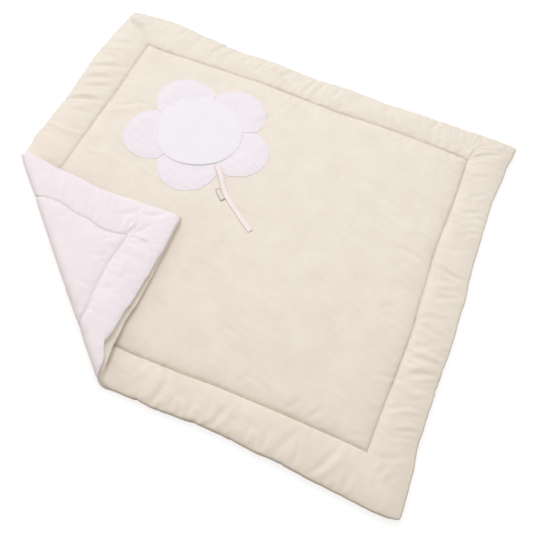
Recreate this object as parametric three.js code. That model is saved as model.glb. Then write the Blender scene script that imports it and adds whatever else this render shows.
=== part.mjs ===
// A quilted baby play mat, lying flat with its near left corner folded over onto the face.
// Millimetres, +Z up. The origin is the middle of the unfolded cut, on the floor.
// +X runs along the long side, and +Y along the short side, away from the viewer.

import * as THREE from "three";
import { mergeVertices } from "three/addons/utils/BufferGeometryUtils.js";

// Driving dimensions of the cut
const WIDTH = 950;
const DEPTH = 850;
const BORDER = 80;

// Padding: heights are measured from the mat's middle level, upwards on the face side
const MIDDLE_LEVEL = 10;
const HALF_LOFT = 10;
const JOIN_LEVEL = -3.5;
const JOIN_GAP = 0.3;
const RIM_FACE = -1;
const RIM_BACK = -5.6;
const CHANNEL_FACE = 2;
const CHANNEL_BACK = -5.3;
const PANEL_RISE = 45;
const ARCH_POWER = 2.5;
const BACK_FULLNESS = 1.3;

// The knife edge: the rim is drawn in, and the face fabric rolls out over it
const RIM_DRAW_IN = 4;
const DRAW_IN_REACH = 15;
const FACE_ROLL = 8;
const FACE_ROLL_AT = 5;

// The fold: where its line crosses the left and near edges, measured from the folded corner
const FOLD_ON_LEFT = 392;
const FOLD_ON_NEAR = 419;
const FOLD_RADIUS = 10.5;
const FOLD_STEPS = 7;
const FOLD_THINNING = 0.15;
const FOLD_EASE = 40;
const PRESS_UNDER_FLAP = 0.22;
const PRESS_OUTSIDE = -30;
const PRESS_INSIDE = 10;

// How the flap lies, by its distance back from the fold: slid along the fold line towards
// the near edge, and shortened. It also slopes down, from the bend to its tip.
const FLAP_LIE = [
  { back: 0, along: 0, shorten: 0 },
  { back: 60, along: 9, shorten: 6 },
  { back: 140, along: 17, shorten: 14 },
  { back: 251, along: 16, shorten: 6 },
];
const FLAP_SLOPE = 0.016;
const CUT_BESIDE_BEND = 25;

// How far the edge and the stitched channel lie outside their straight lines, along each side
const SIDE_BOWS = {
  near: [
    { at: -475, edge: -5, channel: 0 },
    { at: -300, edge: -1, channel: 1 },
    { at: -60, edge: -3, channel: 2 },
    { at: 15, edge: 0, channel: 0 },
    { at: 115, edge: -5, channel: -5 },
    { at: 240, edge: -1, channel: -6 },
    { at: 335, edge: 5, channel: -5 },
    { at: 450, edge: 10, channel: -2 },
    { at: 475, edge: 8, channel: 0 },
  ],
  right: [
    { at: -425, edge: 5, channel: -4 },
    { at: -350, edge: 2, channel: -3 },
    { at: -295, edge: -4, channel: -3 },
    { at: -170, edge: -4, channel: 0 },
    { at: -100, edge: -1, channel: 1 },
    { at: 0, edge: -3, channel: -4 },
    { at: 100, edge: -9, channel: -9 },
    { at: 245, edge: -12, channel: -7 },
    { at: 350, edge: -5, channel: -9 },
    { at: 425, edge: 4, channel: -7 },
  ],
  far: [
    { at: -475, edge: 0, channel: 0 },
    { at: -425, edge: 6, channel: 0 },
    { at: -350, edge: 9, channel: -2 },
    { at: -275, edge: 1, channel: 2 },
    { at: -190, edge: -6, channel: 5 },
    { at: -115, edge: -2, channel: 8 },
    { at: 0, edge: -7, channel: 5 },
    { at: 75, edge: -2, channel: 3 },
    { at: 170, edge: -5, channel: 8 },
    { at: 275, edge: 0, channel: 8 },
    { at: 430, edge: 2, channel: 3 },
    { at: 475, edge: 0, channel: 0 },
  ],
  left: [
    { at: -425, edge: -5, channel: 0 },
    { at: -300, edge: -1, channel: 1 },
    { at: -130, edge: 2, channel: -2 },
    { at: -25, edge: 8, channel: -4 },
    { at: 50, edge: 4, channel: -4 },
    { at: 120, edge: 2, channel: -4 },
    { at: 185, edge: 5, channel: -5 },
    { at: 255, edge: 9, channel: -2 },
    { at: 355, edge: 4, channel: -1 },
    { at: 425, edge: -1, channel: 3 },
  ],
};
const BOW_FADE = 150;

// The main creases across the padded border. Each starts at a place along its side, leans by
// the time it reaches the channel, and takes a share of the padding away.
const CREASES = [
  { side: "near", at: 10, lean: 30, share: 0.3, spread: 18 },
  { side: "near", at: 75, lean: -20, share: 0.2, spread: 22 },
  { side: "near", at: 150, lean: 25, share: 0.3, spread: 20 },
  { side: "near", at: 235, lean: 30, share: 0.22, spread: 24 },
  { side: "near", at: 320, lean: -15, share: 0.28, spread: 20 },
  { side: "near", at: 400, lean: -25, share: 0.25, spread: 18 },
  { side: "right", at: -350, lean: 20, share: 0.25, spread: 18 },
  { side: "right", at: -285, lean: -15, share: 0.3, spread: 16 },
  { side: "right", at: -215, lean: 15, share: 0.3, spread: 18 },
  { side: "right", at: -120, lean: 20, share: 0.25, spread: 20 },
  { side: "right", at: -25, lean: -20, share: 0.3, spread: 20 },
  { side: "right", at: 75, lean: 15, share: 0.25, spread: 18 },
  { side: "right", at: 165, lean: -15, share: 0.25, spread: 20 },
  { side: "right", at: 270, lean: 20, share: 0.3, spread: 18 },
  { side: "right", at: 345, lean: -25, share: 0.35, spread: 16 },
  { side: "far", at: -290, lean: 25, share: 0.3, spread: 18 },
  { side: "far", at: -215, lean: -25, share: 0.35, spread: 20 },
  { side: "far", at: -120, lean: 20, share: 0.3, spread: 20 },
  { side: "far", at: 0, lean: 15, share: 0.25, spread: 24 },
  { side: "far", at: 110, lean: -20, share: 0.25, spread: 22 },
  { side: "far", at: 215, lean: 15, share: 0.25, spread: 20 },
  { side: "far", at: 330, lean: 20, share: 0.3, spread: 18 },
  { side: "left", at: -340, lean: 25, share: 0.3, spread: 18 },
  { side: "left", at: -200, lean: -15, share: 0.2, spread: 20 },
  { side: "left", at: 30, lean: 15, share: 0.25, spread: 20 },
  { side: "left", at: 105, lean: -15, share: 0.3, spread: 18 },
  { side: "left", at: 185, lean: 15, share: 0.3, spread: 20 },
  { side: "left", at: 265, lean: -10, share: 0.3, spread: 18 },
  { side: "left", at: 335, lean: 15, share: 0.25, spread: 18 },
];

// Distances in from the edge at which the two fabrics have a ring of points, and the pitch
// of the points along each side, fine over the border and coarse over the middle
const FACE_RINGS = [0, 2, 6, 14, 28, 50, 68, 80, 90, 125, 175, 230, 290, 350];
const BACK_RINGS = [0, 6, 18, 40, 62, 80, 96, 130, 200, 280, 360];
const FACE_PITCH = 28;
const BACK_PITCH = 40;
const MIDDLE_PITCH = 56;
const FINE_WITHIN = 98;

// The flower: a disc over five lobes, each a circle whose middle stands off the flower's
const FLOWER = new THREE.Vector2(-173, 158);
const CLOTH = 1.5;
const SEAT_GAP = 0.3;
const DISC_RADIUS = 95;
const PETAL_INNER = 70;
const PETAL_PUFF = 2;
const PUFF_CLEARS_DISC = 3;
const PUFF_RISE = 25;
const PETAL_SPLIT = 0.5;
const DISC_PUFF = 1.5;
const DISC_STEP = 9;
const PETALS = [
  { angle: 209, out: 94, lobe: 63 },
  { angle: 133, out: 86, lobe: 66 },
  { angle: 57, out: 92, lobe: 66 },
  { angle: 351, out: 98, lobe: 65 },
  { angle: 281, out: 90, lobe: 63 },
];

// The ribbon stem and the plain folded tab beside it
const STEM_WIDTH = 12;
const STEM_ROUTE = [
  { x: -98, y: 92 },
  { x: -86, y: 79 },
  { x: -70, y: 58 },
  { x: -55, y: 39 },
  { x: -36, y: 23 },
  { x: -14, y: 7 },
  { x: 8, y: -9 },
  { x: 30, y: -24 },
];
const STEM_STEPS = 24;
const STEM_CLEARS_PETALS = 36;
const STEM_COMES_DOWN = 12;
const TAB_LENGTH = 27;
const TAB_REACH = 11;
const TAB_THICKNESS = 1.2;
const TAB_CENTRE = 0.4;
const TAB_LOOP = 0.8;

// Small helpers
const mix = (a, b, t) => a + (b - a) * t;
const clamp01 = (t) => Math.min(1, Math.max(0, t));
const ease = (t) => clamp01(t) ** 2 * (3 - 2 * clamp01(t));

// A column of a table, read at a place between its rows with no corner at a row
function column(rows, key, name, place) {
  const last = rows.length - 1;
  if (place <= rows[0][key]) return rows[0][name];
  if (place >= rows[last][key]) return rows[last][name];
  const i = rows.findIndex((row) => row[key] > place) - 1;
  const t = (place - rows[i][key]) / (rows[i + 1][key] - rows[i][key]);
  return mix(rows[i][name], rows[i + 1][name], ease(t));
}

// The fold line, its direction, and the direction across it towards the folded corner
const foldStart = new THREE.Vector2(-WIDTH / 2, FOLD_ON_LEFT - DEPTH / 2);
const foldEnd = new THREE.Vector2(FOLD_ON_NEAR - WIDTH / 2, -DEPTH / 2);
const foldAlong = foldEnd.clone().sub(foldStart).normalize();
const foldAcross = new THREE.Vector2(foldAlong.y, -foldAlong.x);
const foldArc = Math.PI * FOLD_RADIUS;

const acrossFold = (x, y) => (x - foldStart.x) * foldAcross.x + (y - foldStart.y) * foldAcross.y;
const alongFold = (x, y) => (x - foldStart.x) * foldAlong.x + (y - foldStart.y) * foldAlong.y;

// Distance of a point of the cut from each side
const sideDistances = (x, y) => ({
  left: x + WIDTH / 2,
  right: WIDTH / 2 - x,
  near: y + DEPTH / 2,
  far: DEPTH / 2 - y,
});
const inset = (x, y) => Math.min(...Object.values(sideDistances(x, y)));

// How far a point is carried outward by the bow of one side
function bow(side, place, distance) {
  const edge = column(SIDE_BOWS[side], "at", "edge", place);
  const channel = column(SIDE_BOWS[side], "at", "channel", place);
  if (distance < BORDER) return mix(edge, channel, ease(distance / BORDER));
  return channel * (1 - ease((distance - BORDER) / BOW_FADE));
}

// How far the fabric near one side is pushed out: the rim is drawn in, the face rolls out
function roll(distance, isFace) {
  const drawnIn = -RIM_DRAW_IN * Math.exp(-distance / DRAW_IN_REACH);
  if (!isFace) return drawnIn;
  const share = distance / FACE_ROLL_AT;
  return drawnIn + FACE_ROLL * share * Math.exp(1 - share);
}

// The shift of a point of the cut within the cloth
function shift(x, y, isFace) {
  const { left, right, near, far } = sideDistances(x, y);
  const outward = (side, place, distance) => bow(side, place, distance) + roll(distance, isFace);
  return {
    x: outward("right", y, right) - outward("left", y, left),
    y: outward("far", x, far) - outward("near", x, near),
  };
}

// 1 in the bend of the fold, easing to 0 on both sides of it
function bendShare(across) {
  const outside = Math.max(-across, across - foldArc, 0);
  return 1 - ease(outside / FOLD_EASE);
}

// 1 where the flap lies over the base, easing to 0 a little outside its outline
function flapShare(x, y) {
  const across = acrossFold(x, y);
  if (across > 0) return 0;
  const back = -across;
  const along = alongFold(x, y) - column(FLAP_LIE, "back", "along", back);
  const above = foldStart.clone();
  above.addScaledVector(foldAlong, along).addScaledVector(foldAcross, foldArc + back);
  return ease((inset(above.x, above.y) - PRESS_OUTSIDE) / (PRESS_INSIDE - PRESS_OUTSIDE));
}

// The share of the padding that the creases leave at a point of the border
function creaseLeft(x, y) {
  const distances = sideDistances(x, y);
  let left = 1;
  for (const { side, at, lean, share, spread } of CREASES) {
    const distance = distances[side];
    if (distance > BORDER || distance > inset(x, y)) continue;
    const place = side === "near" || side === "far" ? x : y;
    const off = (place - at - lean * (distance / BORDER)) / spread;
    left *= 1 - share * Math.exp(-off * off);
  }
  return left;
}

// The padded height of one fabric over the middle level: an arch over the border, a sewn
// channel, and a rise to the level middle
function padded(distance, rim, channel, crown) {
  if (distance < BORDER) {
    const across = Math.abs((2 * distance) / BORDER - 1);
    const arch = Math.sqrt(1 - across ** ARCH_POWER);
    return mix(mix(rim, channel, distance / BORDER), crown, arch);
  }
  const rise = clamp01((distance - BORDER) / PANEL_RISE);
  return mix(channel, crown, Math.sqrt(1 - (1 - rise) ** ARCH_POWER));
}

function faceHeight(x, y) {
  const across = acrossFold(x, y);
  const thinned = 1 - FOLD_THINNING * Math.max(bendShare(across), across > 0 ? 1 : 0);
  const pressed = 1 - PRESS_UNDER_FLAP * flapShare(x, y);
  const crown = HALF_LOFT * thinned * pressed;
  const height = padded(inset(x, y), RIM_FACE, CHANNEL_FACE, crown);
  return height > CHANNEL_FACE ? mix(CHANNEL_FACE, height, creaseLeft(x, y)) : height;
}

// The back lies flat on the floor, and stands up round and full on the flap
function backHeight(x, y) {
  const across = acrossFold(x, y);
  const thinned = 1 - FOLD_THINNING * bendShare(across);
  const full = padded(inset(x, y), RIM_BACK, CHANNEL_BACK, -HALF_LOFT * thinned);
  const puckered = full < CHANNEL_BACK ? mix(CHANNEL_BACK, full, creaseLeft(x, y)) : full;
  const fuller = padded(inset(x, y), RIM_BACK, CHANNEL_BACK, -HALF_LOFT * BACK_FULLNESS);
  const floored = Math.max(fuller, -MIDDLE_LEVEL * thinned);
  return mix(floored, puckered, ease(across / foldArc));
}

// The bend as flat facets between its steps: how far a height over the middle level stands
// across the fold line, and how far it is raised
function bent(across, height) {
  const step = clamp01(across / foldArc) * FOLD_STEPS;
  const facet = Math.min(Math.floor(step), FOLD_STEPS - 1);
  const radius = FOLD_RADIUS - height;
  const turns = [facet, facet + 1].map((k) => (k / FOLD_STEPS) * Math.PI);
  const [from, to] = turns.map((turn) => [radius * Math.sin(turn), FOLD_RADIUS - radius * Math.cos(turn)]);
  return { reach: mix(from[0], to[0], step - facet), rise: mix(from[1], to[1], step - facet) };
}

// Where a point of the cut comes to, at a height over the middle level, once folded
function placed(x, y, height, isFace) {
  const across = acrossFold(x, y);
  const moved = shift(x, y, isFace);
  const free = 1 - bendShare(across);
  const shiftAcross = (moved.x * foldAcross.x + moved.y * foldAcross.y) * free;
  const shiftAlong = moved.x * foldAlong.x + moved.y * foldAlong.y;
  const back = Math.max(0, across - foldArc);
  const turn = clamp01(across / foldArc) * Math.PI;
  const flatPart = Math.min(across, 0) - back + column(FLAP_LIE, "back", "shorten", back);
  const bend = bent(across, height);
  const reach = flatPart + shiftAcross * Math.cos(turn) + bend.reach;
  const along = alongFold(x, y) + shiftAlong + column(FLAP_LIE, "back", "along", back);
  return new THREE.Vector3(
    foldStart.x + foldAlong.x * along + foldAcross.x * reach,
    foldStart.y + foldAlong.y * along + foldAcross.y * reach,
    MIDDLE_LEVEL + bend.rise - FLAP_SLOPE * back,
  );
}

// The corners of the rectangle that stands in from the edge by a distance, from the folded
// corner, counter-clockwise seen from above
function ringCorners(distance) {
  const x = WIDTH / 2 - distance;
  const y = DEPTH / 2 - distance;
  return [[-x, -y], [x, -y], [x, y], [-x, y]];
}

// Triangles between two rows of points that run the same way, the first on the right
function strip(first, second) {
  const triangles = [];
  let i = 0;
  let j = 0;
  while (i < first.length - 1 || j < second.length - 1) {
    const nextFirst = (i + 1) / (first.length - 1);
    const nextSecond = (j + 1) / (second.length - 1);
    if (j === second.length - 1 || (i < first.length - 1 && nextFirst <= nextSecond)) {
      triangles.push([first[i], first[i + 1], second[j]]);
      i += 1;
    } else {
      triangles.push([first[i], second[j + 1], second[j]]);
      j += 1;
    }
  }
  return triangles.filter(([a, b, c]) => a !== b && b !== c && c !== a);
}

// The cut as a net of points and triangles on concentric rings
function ringNet(rings, finePitch) {
  const points = [];
  const triangles = [];
  const addRing = (distance) => {
    const corners = ringCorners(distance);
    const pitch = distance > FINE_WITHIN ? MIDDLE_PITCH : finePitch;
    const sides = [];
    const start = points.length;
    corners.forEach(([x0, y0], side) => {
      const [x1, y1] = corners[(side + 1) % 4];
      const outer = side % 2 === 0 ? WIDTH : DEPTH;
      const span = distance > FINE_WITHIN ? Math.hypot(x1 - x0, y1 - y0) : outer;
      const steps = Math.max(1, Math.round(span / pitch));
      const row = [];
      for (let k = 0; k < steps; k += 1) {
        row.push(points.length);
        points.push([mix(x0, x1, k / steps), mix(y0, y1, k / steps)]);
      }
      sides.push(row);
    });
    sides.forEach((row, side) => row.push(side < 3 ? sides[side + 1][0] : start));
    return sides;
  };
  let outer = addRing(rings[0]);
  for (const distance of rings.slice(1)) {
    const inner = addRing(distance);
    outer.forEach((row, side) => triangles.push(...strip(row, inner[side])));
    outer = inner;
  }
  const [near, right, far, left] = outer;
  const farBackwards = [...far].reverse();
  triangles.push(...strip([...near, ...right.slice(1)], [...left].reverse().concat(farBackwards.slice(1))));
  return { points, triangles };
}

// Cuts every triangle that the line at a distance across the fold goes through
function cutNet(net, level) {
  const { points, triangles } = net;
  const side = (i) => {
    const off = acrossFold(...points[i]) - level;
    return Math.abs(off) < 1e-6 ? 0 : off;
  };
  const made = new Map();
  const crossing = (i, j) => {
    const key = i < j ? `${i}_${j}` : `${j}_${i}`;
    if (!made.has(key)) {
      const t = side(i) / (side(i) - side(j));
      made.set(key, points.length);
      points.push([mix(points[i][0], points[j][0], t), mix(points[i][1], points[j][1], t)]);
    }
    return made.get(key);
  };
  const kept = [];
  for (const [a, b, c] of triangles) {
    const turns = [[a, b, c], [b, c, a], [c, a, b]];
    const alone = turns.find(([i, j, k]) => side(i) * side(j) < 0 && side(i) * side(k) < 0);
    const through = turns.find(([i, j, k]) => side(i) === 0 && side(j) * side(k) < 0);
    if (alone) {
      const [i, j, k] = alone;
      const ij = crossing(i, j);
      const ik = crossing(i, k);
      kept.push([i, ij, ik], [ij, j, k], [ij, k, ik]);
    } else if (through) {
      const [i, j, k] = through;
      const jk = crossing(j, k);
      kept.push([i, j, jk], [i, jk, k]);
    } else {
      kept.push([a, b, c]);
    }
  }
  net.triangles = kept;
}

// The points on the rim, in order, from the folded corner along the near side
function rimOrder(points) {
  const turnOf = ([x, y]) => {
    const { left, right, near } = sideDistances(x, y);
    if (near < 1e-6) return left;
    if (right < 1e-6) return WIDTH + near;
    if (left > 1e-6) return WIDTH + DEPTH + right;
    return 2 * WIDTH + DEPTH + (DEPTH - near);
  };
  const rim = points.map((_, i) => i).filter((i) => inset(...points[i]) < 1e-6);
  return rim.sort((i, j) => turnOf(points[i]) - turnOf(points[j]));
}

// The level surface where the two fabrics meet, as long strips between the rim's two halves
function joinTriangles(points, rim, levels) {
  const across = (i) => acrossFold(...points[i]);
  const isFarCorner = (i) => points[i][0] > WIDTH / 2 - 1e-6 && points[i][1] > DEPTH / 2 - 1e-6;
  const farCorner = rim.findIndex(isFarCorner);
  const nearHalf = rim.slice(0, farCorner + 1).reverse();
  const leftHalf = [...rim.slice(farCorner), rim[0]];
  const triangles = [];
  const bounds = [-Infinity, ...levels, Infinity];
  for (let k = 0; k < bounds.length - 1; k += 1) {
    const within = (i) => across(i) > bounds[k] - 1e-6 && across(i) < bounds[k + 1] + 1e-6;
    triangles.push(...strip(leftHalf.filter(within), nearHalf.filter(within)));
  }
  return triangles.map(([a, b, c]) => [a, c, b]);
}

function meshOf(name, corners, triangles, look) {
  const geometry = new THREE.BufferGeometry();
  const flat = triangles.flat().flatMap((i) => corners[i].toArray());
  geometry.setAttribute("position", new THREE.Float32BufferAttribute(flat, 3));
  const merged = mergeVertices(geometry, 1e-4);
  merged.computeVertexNormals();
  const mesh = new THREE.Mesh(merged, new THREE.MeshStandardMaterial(look));
  mesh.name = name;
  return mesh;
}

// One half of the padded mat: its fabric, the join surface and the rim between them
function matHalf(name, rings, pitch, isFace, look) {
  const levels = [-CUT_BESIDE_BEND];
  for (let k = 0; k <= FOLD_STEPS; k += 1) levels.push((k / FOLD_STEPS) * foldArc);
  levels.push(foldArc + CUT_BESIDE_BEND);
  const net = ringNet(rings, pitch);
  levels.forEach((level) => cutNet(net, level));
  const { points, triangles } = net;
  const rim = rimOrder(points);
  const joinHeight = JOIN_LEVEL + (isFace ? JOIN_GAP / 2 : -JOIN_GAP / 2);
  const height = isFace ? faceHeight : backHeight;
  const outer = points.map(([x, y]) => placed(x, y, height(x, y), isFace));
  const inner = points.map(([x, y]) => placed(x, y, joinHeight, isFace));
  const toInner = (list) => list.map((i) => i + points.length);
  const all = [...triangles, ...joinTriangles(points, rim, levels).map(toInner)];
  rim.forEach((a, k) => {
    const b = rim[(k + 1) % rim.length];
    all.push([a, a + points.length, b + points.length], [a, b + points.length, b]);
  });
  const turned = isFace ? all : all.map(([a, b, c]) => [a, c, b]);
  return meshOf(name, [...outer, ...inner], turned, look);
}

// A closed sheet over a grid of plan points, with its own lower and upper heights
function clothSheet(name, stepsU, stepsV, plan, lower, upper, look) {
  const corners = [];
  const row = stepsV + 1;
  const layer = (stepsU + 1) * row;
  for (const height of [lower, upper]) {
    for (let i = 0; i <= stepsU; i += 1) {
      for (let j = 0; j <= stepsV; j += 1) {
        const { x, y } = plan(i / stepsU, j / stepsV);
        corners.push(new THREE.Vector3(x, y, height(i / stepsU, j / stepsV, x, y)));
      }
    }
  }
  const at = (i, j, k) => k * layer + i * row + j;
  const triangles = [];
  const quad = (a, b, c, d) => triangles.push([a, b, c], [a, c, d]);
  for (let i = 0; i < stepsU; i += 1) {
    for (let j = 0; j < stepsV; j += 1) {
      quad(at(i, j, 1), at(i + 1, j, 1), at(i + 1, j + 1, 1), at(i, j + 1, 1));
      quad(at(i, j, 0), at(i, j + 1, 0), at(i + 1, j + 1, 0), at(i + 1, j, 0));
    }
    quad(at(i, 0, 0), at(i + 1, 0, 0), at(i + 1, 0, 1), at(i, 0, 1));
    quad(at(i, stepsV, 0), at(i, stepsV, 1), at(i + 1, stepsV, 1), at(i + 1, stepsV, 0));
  }
  for (let j = 0; j < stepsV; j += 1) {
    quad(at(0, j, 0), at(0, j, 1), at(0, j + 1, 1), at(0, j + 1, 0));
    quad(at(stepsU, j, 0), at(stepsU, j + 1, 0), at(stepsU, j + 1, 1), at(stepsU, j, 1));
  }
  return meshOf(name, corners, triangles, look);
}

// Level of the face under the flower, and of the cloth laid on it
const faceLevel = MIDDLE_LEVEL + HALF_LOFT;
const firstLayer = faceLevel + SEAT_GAP;
const secondLayer = firstLayer + CLOTH + SEAT_GAP;

const radians = THREE.MathUtils.degToRad;
const lobeCentre = ({ angle, out }) =>
  new THREE.Vector2(Math.cos(radians(angle)), Math.sin(radians(angle))).multiplyScalar(out).add(FLOWER);

// Where two neighbouring lobes cross, on the side away from the flower's middle
function lobeCrossing(first, second) {
  const a = lobeCentre(first);
  const b = lobeCentre(second);
  const span = a.distanceTo(b);
  const toChord = (span ** 2 + first.lobe ** 2 - second.lobe ** 2) / (2 * span);
  const half = Math.sqrt(first.lobe ** 2 - toChord ** 2);
  const direction = b.clone().sub(a).divideScalar(span);
  const middle = a.clone().addScaledVector(direction, toChord);
  const normal = new THREE.Vector2(-direction.y, direction.x);
  const away = middle.clone().sub(FLOWER).dot(normal) > 0 ? 1 : -1;
  return middle.addScaledVector(normal, away * half);
}

// One petal: from an inner arc that the disc covers out to its own round edge
function petal(index, look) {
  const self = PETALS[index];
  const before = PETALS[(index + PETALS.length - 1) % PETALS.length];
  const after = PETALS[(index + 1) % PETALS.length];
  const centre = lobeCentre(self);
  const ends = [lobeCrossing(before, self), lobeCrossing(self, after)];
  const [startInner, endInner] = ends.map((end) => end.clone().sub(FLOWER).angle());
  const [startOuter, endOuter] = ends.map((end) => end.clone().sub(centre).angle());
  const clockwise = (from, to) => -((from - to + 2 * Math.PI) % (2 * Math.PI));
  const plan = (u, v) => {
    const inner = startInner + clockwise(startInner, endInner) * u;
    const outer = startOuter + clockwise(startOuter, endOuter) * u;
    const middleAngle = startInner + clockwise(startInner, endInner) / 2;
    const sideways = (u < 0.5 ? -1 : 1) * PETAL_SPLIT * (Math.abs(u - 0.5) * 2) ** 8;
    const x = mix(FLOWER.x + PETAL_INNER * Math.cos(inner), centre.x + self.lobe * Math.cos(outer), v);
    const y = mix(FLOWER.y + PETAL_INNER * Math.sin(inner), centre.y + self.lobe * Math.sin(outer), v);
    return {
      x: x - sideways * Math.sin(middleAngle),
      y: y + sideways * Math.cos(middleAngle),
    };
  };
  const puff = (u, v, x, y) => {
    const beyond = Math.hypot(x - FLOWER.x, y - FLOWER.y) - DISC_RADIUS - PUFF_CLEARS_DISC;
    const clear = ease(beyond / PUFF_RISE);
    return PETAL_PUFF * clear * Math.sin(Math.PI * u) ** 2 * Math.sin(Math.PI * v);
  };
  const lower = () => firstLayer;
  const upper = (u, v, x, y) => firstLayer + CLOTH + puff(u, v, x, y);
  return clothSheet(`petal_${index + 1}`, 16, 5, plan, lower, upper, look);
}

// The disc: it lies on the face in the middle and steps up over the petals' inner edges
function flowerCentre(look) {
  const stepTo = PETAL_INNER - 2;
  const stepFrom = stepTo - DISC_STEP;
  const under = (r) => mix(firstLayer, secondLayer, ease((r - stepFrom) / DISC_STEP));
  const over = (r) => under(r) + CLOTH + DISC_PUFF * Math.sqrt(1 - (r / DISC_RADIUS) ** 2);
  const radii = [0, 30, stepFrom, (stepFrom + stepTo) / 2, stepTo, 82, DISC_RADIUS];
  const profile = radii.map((r) => new THREE.Vector2(r, under(r)));
  [...radii].reverse().forEach((r) => profile.push(new THREE.Vector2(r, over(r))));
  const turned = new THREE.LatheGeometry(profile, 36);
  turned.rotateX(Math.PI / 2);
  turned.deleteAttribute("normal");
  turned.deleteAttribute("uv");
  const merged = mergeVertices(turned, 1e-4);
  const mesh = new THREE.Mesh(merged, new THREE.MeshStandardMaterial(look));
  mesh.name = "flower_centre";
  mesh.position.set(FLOWER.x, FLOWER.y, 0);
  return mesh;
}

const stemCurve = new THREE.CatmullRomCurve3(STEM_ROUTE.map(({ x, y }) => new THREE.Vector3(x, y, 0)));

// A point beside the stem's middle line
function besideStem(share, sideways) {
  const point = stemCurve.getPointAt(share);
  const tangent = stemCurve.getTangentAt(share);
  return { x: point.x - tangent.y * sideways, y: point.y + tangent.x * sideways };
}

// The stem: a ribbon that starts on the petals at their notch and comes down onto the face
function stemRibbon(look) {
  const length = stemCurve.getLength();
  const lift = (u) => 1 - ease((u * length - STEM_CLEARS_PETALS) / STEM_COMES_DOWN);
  const plan = (u, v) => besideStem(u, (v - 0.5) * STEM_WIDTH);
  const lower = (u) => mix(firstLayer, secondLayer, lift(u));
  return clothSheet("stem_ribbon", STEM_STEPS, 2, plan, lower, (u) => lower(u) + CLOTH, look);
}

// The tab: a short folded tape whose cut ends are caught beside the stem
function stemTab(look) {
  const half = TAB_LENGTH / 2 / stemCurve.getLength();
  const start = -STEM_WIDTH / 2 - SEAT_GAP;
  const plan = (u, v) => besideStem(TAB_CENTRE + (u * 2 - 1) * half, start - TAB_REACH * (1 - v));
  const upper = (u, v) => firstLayer + TAB_THICKNESS + TAB_LOOP * Math.sin(Math.PI * v);
  return clothSheet("stem_label", 4, 4, plan, () => firstLayer, upper, look);
}

const fabric = (color, roughness) => ({ color, roughness, metalness: 0 });

const playMat = new THREE.Group();
playMat.add(matHalf("face_panel", FACE_RINGS, FACE_PITCH, true, fabric(0xe9dfd1, 0.9)));
playMat.add(matHalf("back_panel", BACK_RINGS, BACK_PITCH, false, fabric(0xf3ebf0, 0.9)));
PETALS.forEach((_, index) => playMat.add(petal(index, fabric(0xf2ecf0, 0.85))));
playMat.add(flowerCentre(fabric(0xf5f2f5, 0.85)));
playMat.add(stemRibbon(fabric(0xf0e6e2, 0.6)));
playMat.add(stemTab(fabric(0xd9d2c8, 0.8)));

export default playMat;
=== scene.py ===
# %% [markdown]
# # A quilted baby play mat, lying flat with one corner folded over
# The real object is two cotton fabrics, beige on the face and pale pink on the back, with a
# polyester filling between them. They are sewn together round the rim, and a seam 80 mm
# inside it makes a padded border round a padded middle. A flower with a ribbon stem is sewn
# on the face.
#
# This lesson builds the fabrics as fine nets in the flat cut, where every seam and crease is
# easy to place, and folds them afterwards with one function. The CAD model of the mat was
# made by the same kind of folding, so the two agree closely. They differ where the picture
# shows sewing and fine cloth detail, which the plain solids leave out.

import math

import bpy
import numpy as np
from mathutils import Matrix, Vector


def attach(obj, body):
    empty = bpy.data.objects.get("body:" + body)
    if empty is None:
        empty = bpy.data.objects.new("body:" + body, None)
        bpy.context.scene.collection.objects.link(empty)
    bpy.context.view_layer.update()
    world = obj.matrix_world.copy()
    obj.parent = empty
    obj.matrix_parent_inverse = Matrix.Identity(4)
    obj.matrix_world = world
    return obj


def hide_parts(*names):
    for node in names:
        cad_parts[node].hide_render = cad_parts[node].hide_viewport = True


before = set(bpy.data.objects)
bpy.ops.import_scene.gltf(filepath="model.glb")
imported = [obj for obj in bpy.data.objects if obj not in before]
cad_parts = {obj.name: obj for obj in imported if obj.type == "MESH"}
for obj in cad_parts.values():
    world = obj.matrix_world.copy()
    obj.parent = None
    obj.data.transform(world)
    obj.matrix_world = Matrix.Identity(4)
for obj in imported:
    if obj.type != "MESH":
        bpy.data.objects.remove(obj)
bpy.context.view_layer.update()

# %% [markdown]
# ## The camera
# The picture looks down on the mat from the near side at about 61 degrees, a little from the
# right, and is slightly rolled. A camera is only a place, three axes and a lens, so they are
# written as a matrix: its columns are the camera's right, its up, and the direction behind it.

# %% Camera
CAMERA_PLACE = Vector((0.2916, -0.6925, 1.1969))
CAMERA_RIGHT = Vector((0.92024, 0.38591, 0.06513))
CAMERA_UP = Vector((-0.36889, 0.79971, 0.47370))
CAMERA_LENS_MM = 44.17
SENSOR_MM = 36

right = CAMERA_RIGHT.normalized()
behind = right.cross(CAMERA_UP).normalized()
up = behind.cross(right)
camera_data = bpy.data.cameras.new("camera")
camera_data.lens = CAMERA_LENS_MM
camera_data.sensor_width = SENSOR_MM
camera = bpy.data.objects.new("camera", camera_data)
camera.matrix_world = Matrix.Translation(CAMERA_PLACE) @ Matrix((right, up, behind)).transposed().to_4x4()
bpy.context.collection.objects.link(camera)
bpy.context.scene.camera = camera
elevation = math.degrees(math.asin(behind.z))
print("camera looks down at", round(elevation, 1), "degrees")

# %% [markdown]
# ## The cut
# A maker cuts both fabrics to 950 x 850 mm and sews the channel 80 mm in. Everything that
# follows is worked out in millimetres of that flat cut: x along the long side, y along the
# short side, and the height above or below the middle of the padding. Only the last step
# turns millimetres into Blender's metres.

# %% Sizes of the cut and of its padding
MM = 0.001
WIDTH = 950
DEPTH = 850
BORDER = 80

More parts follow.
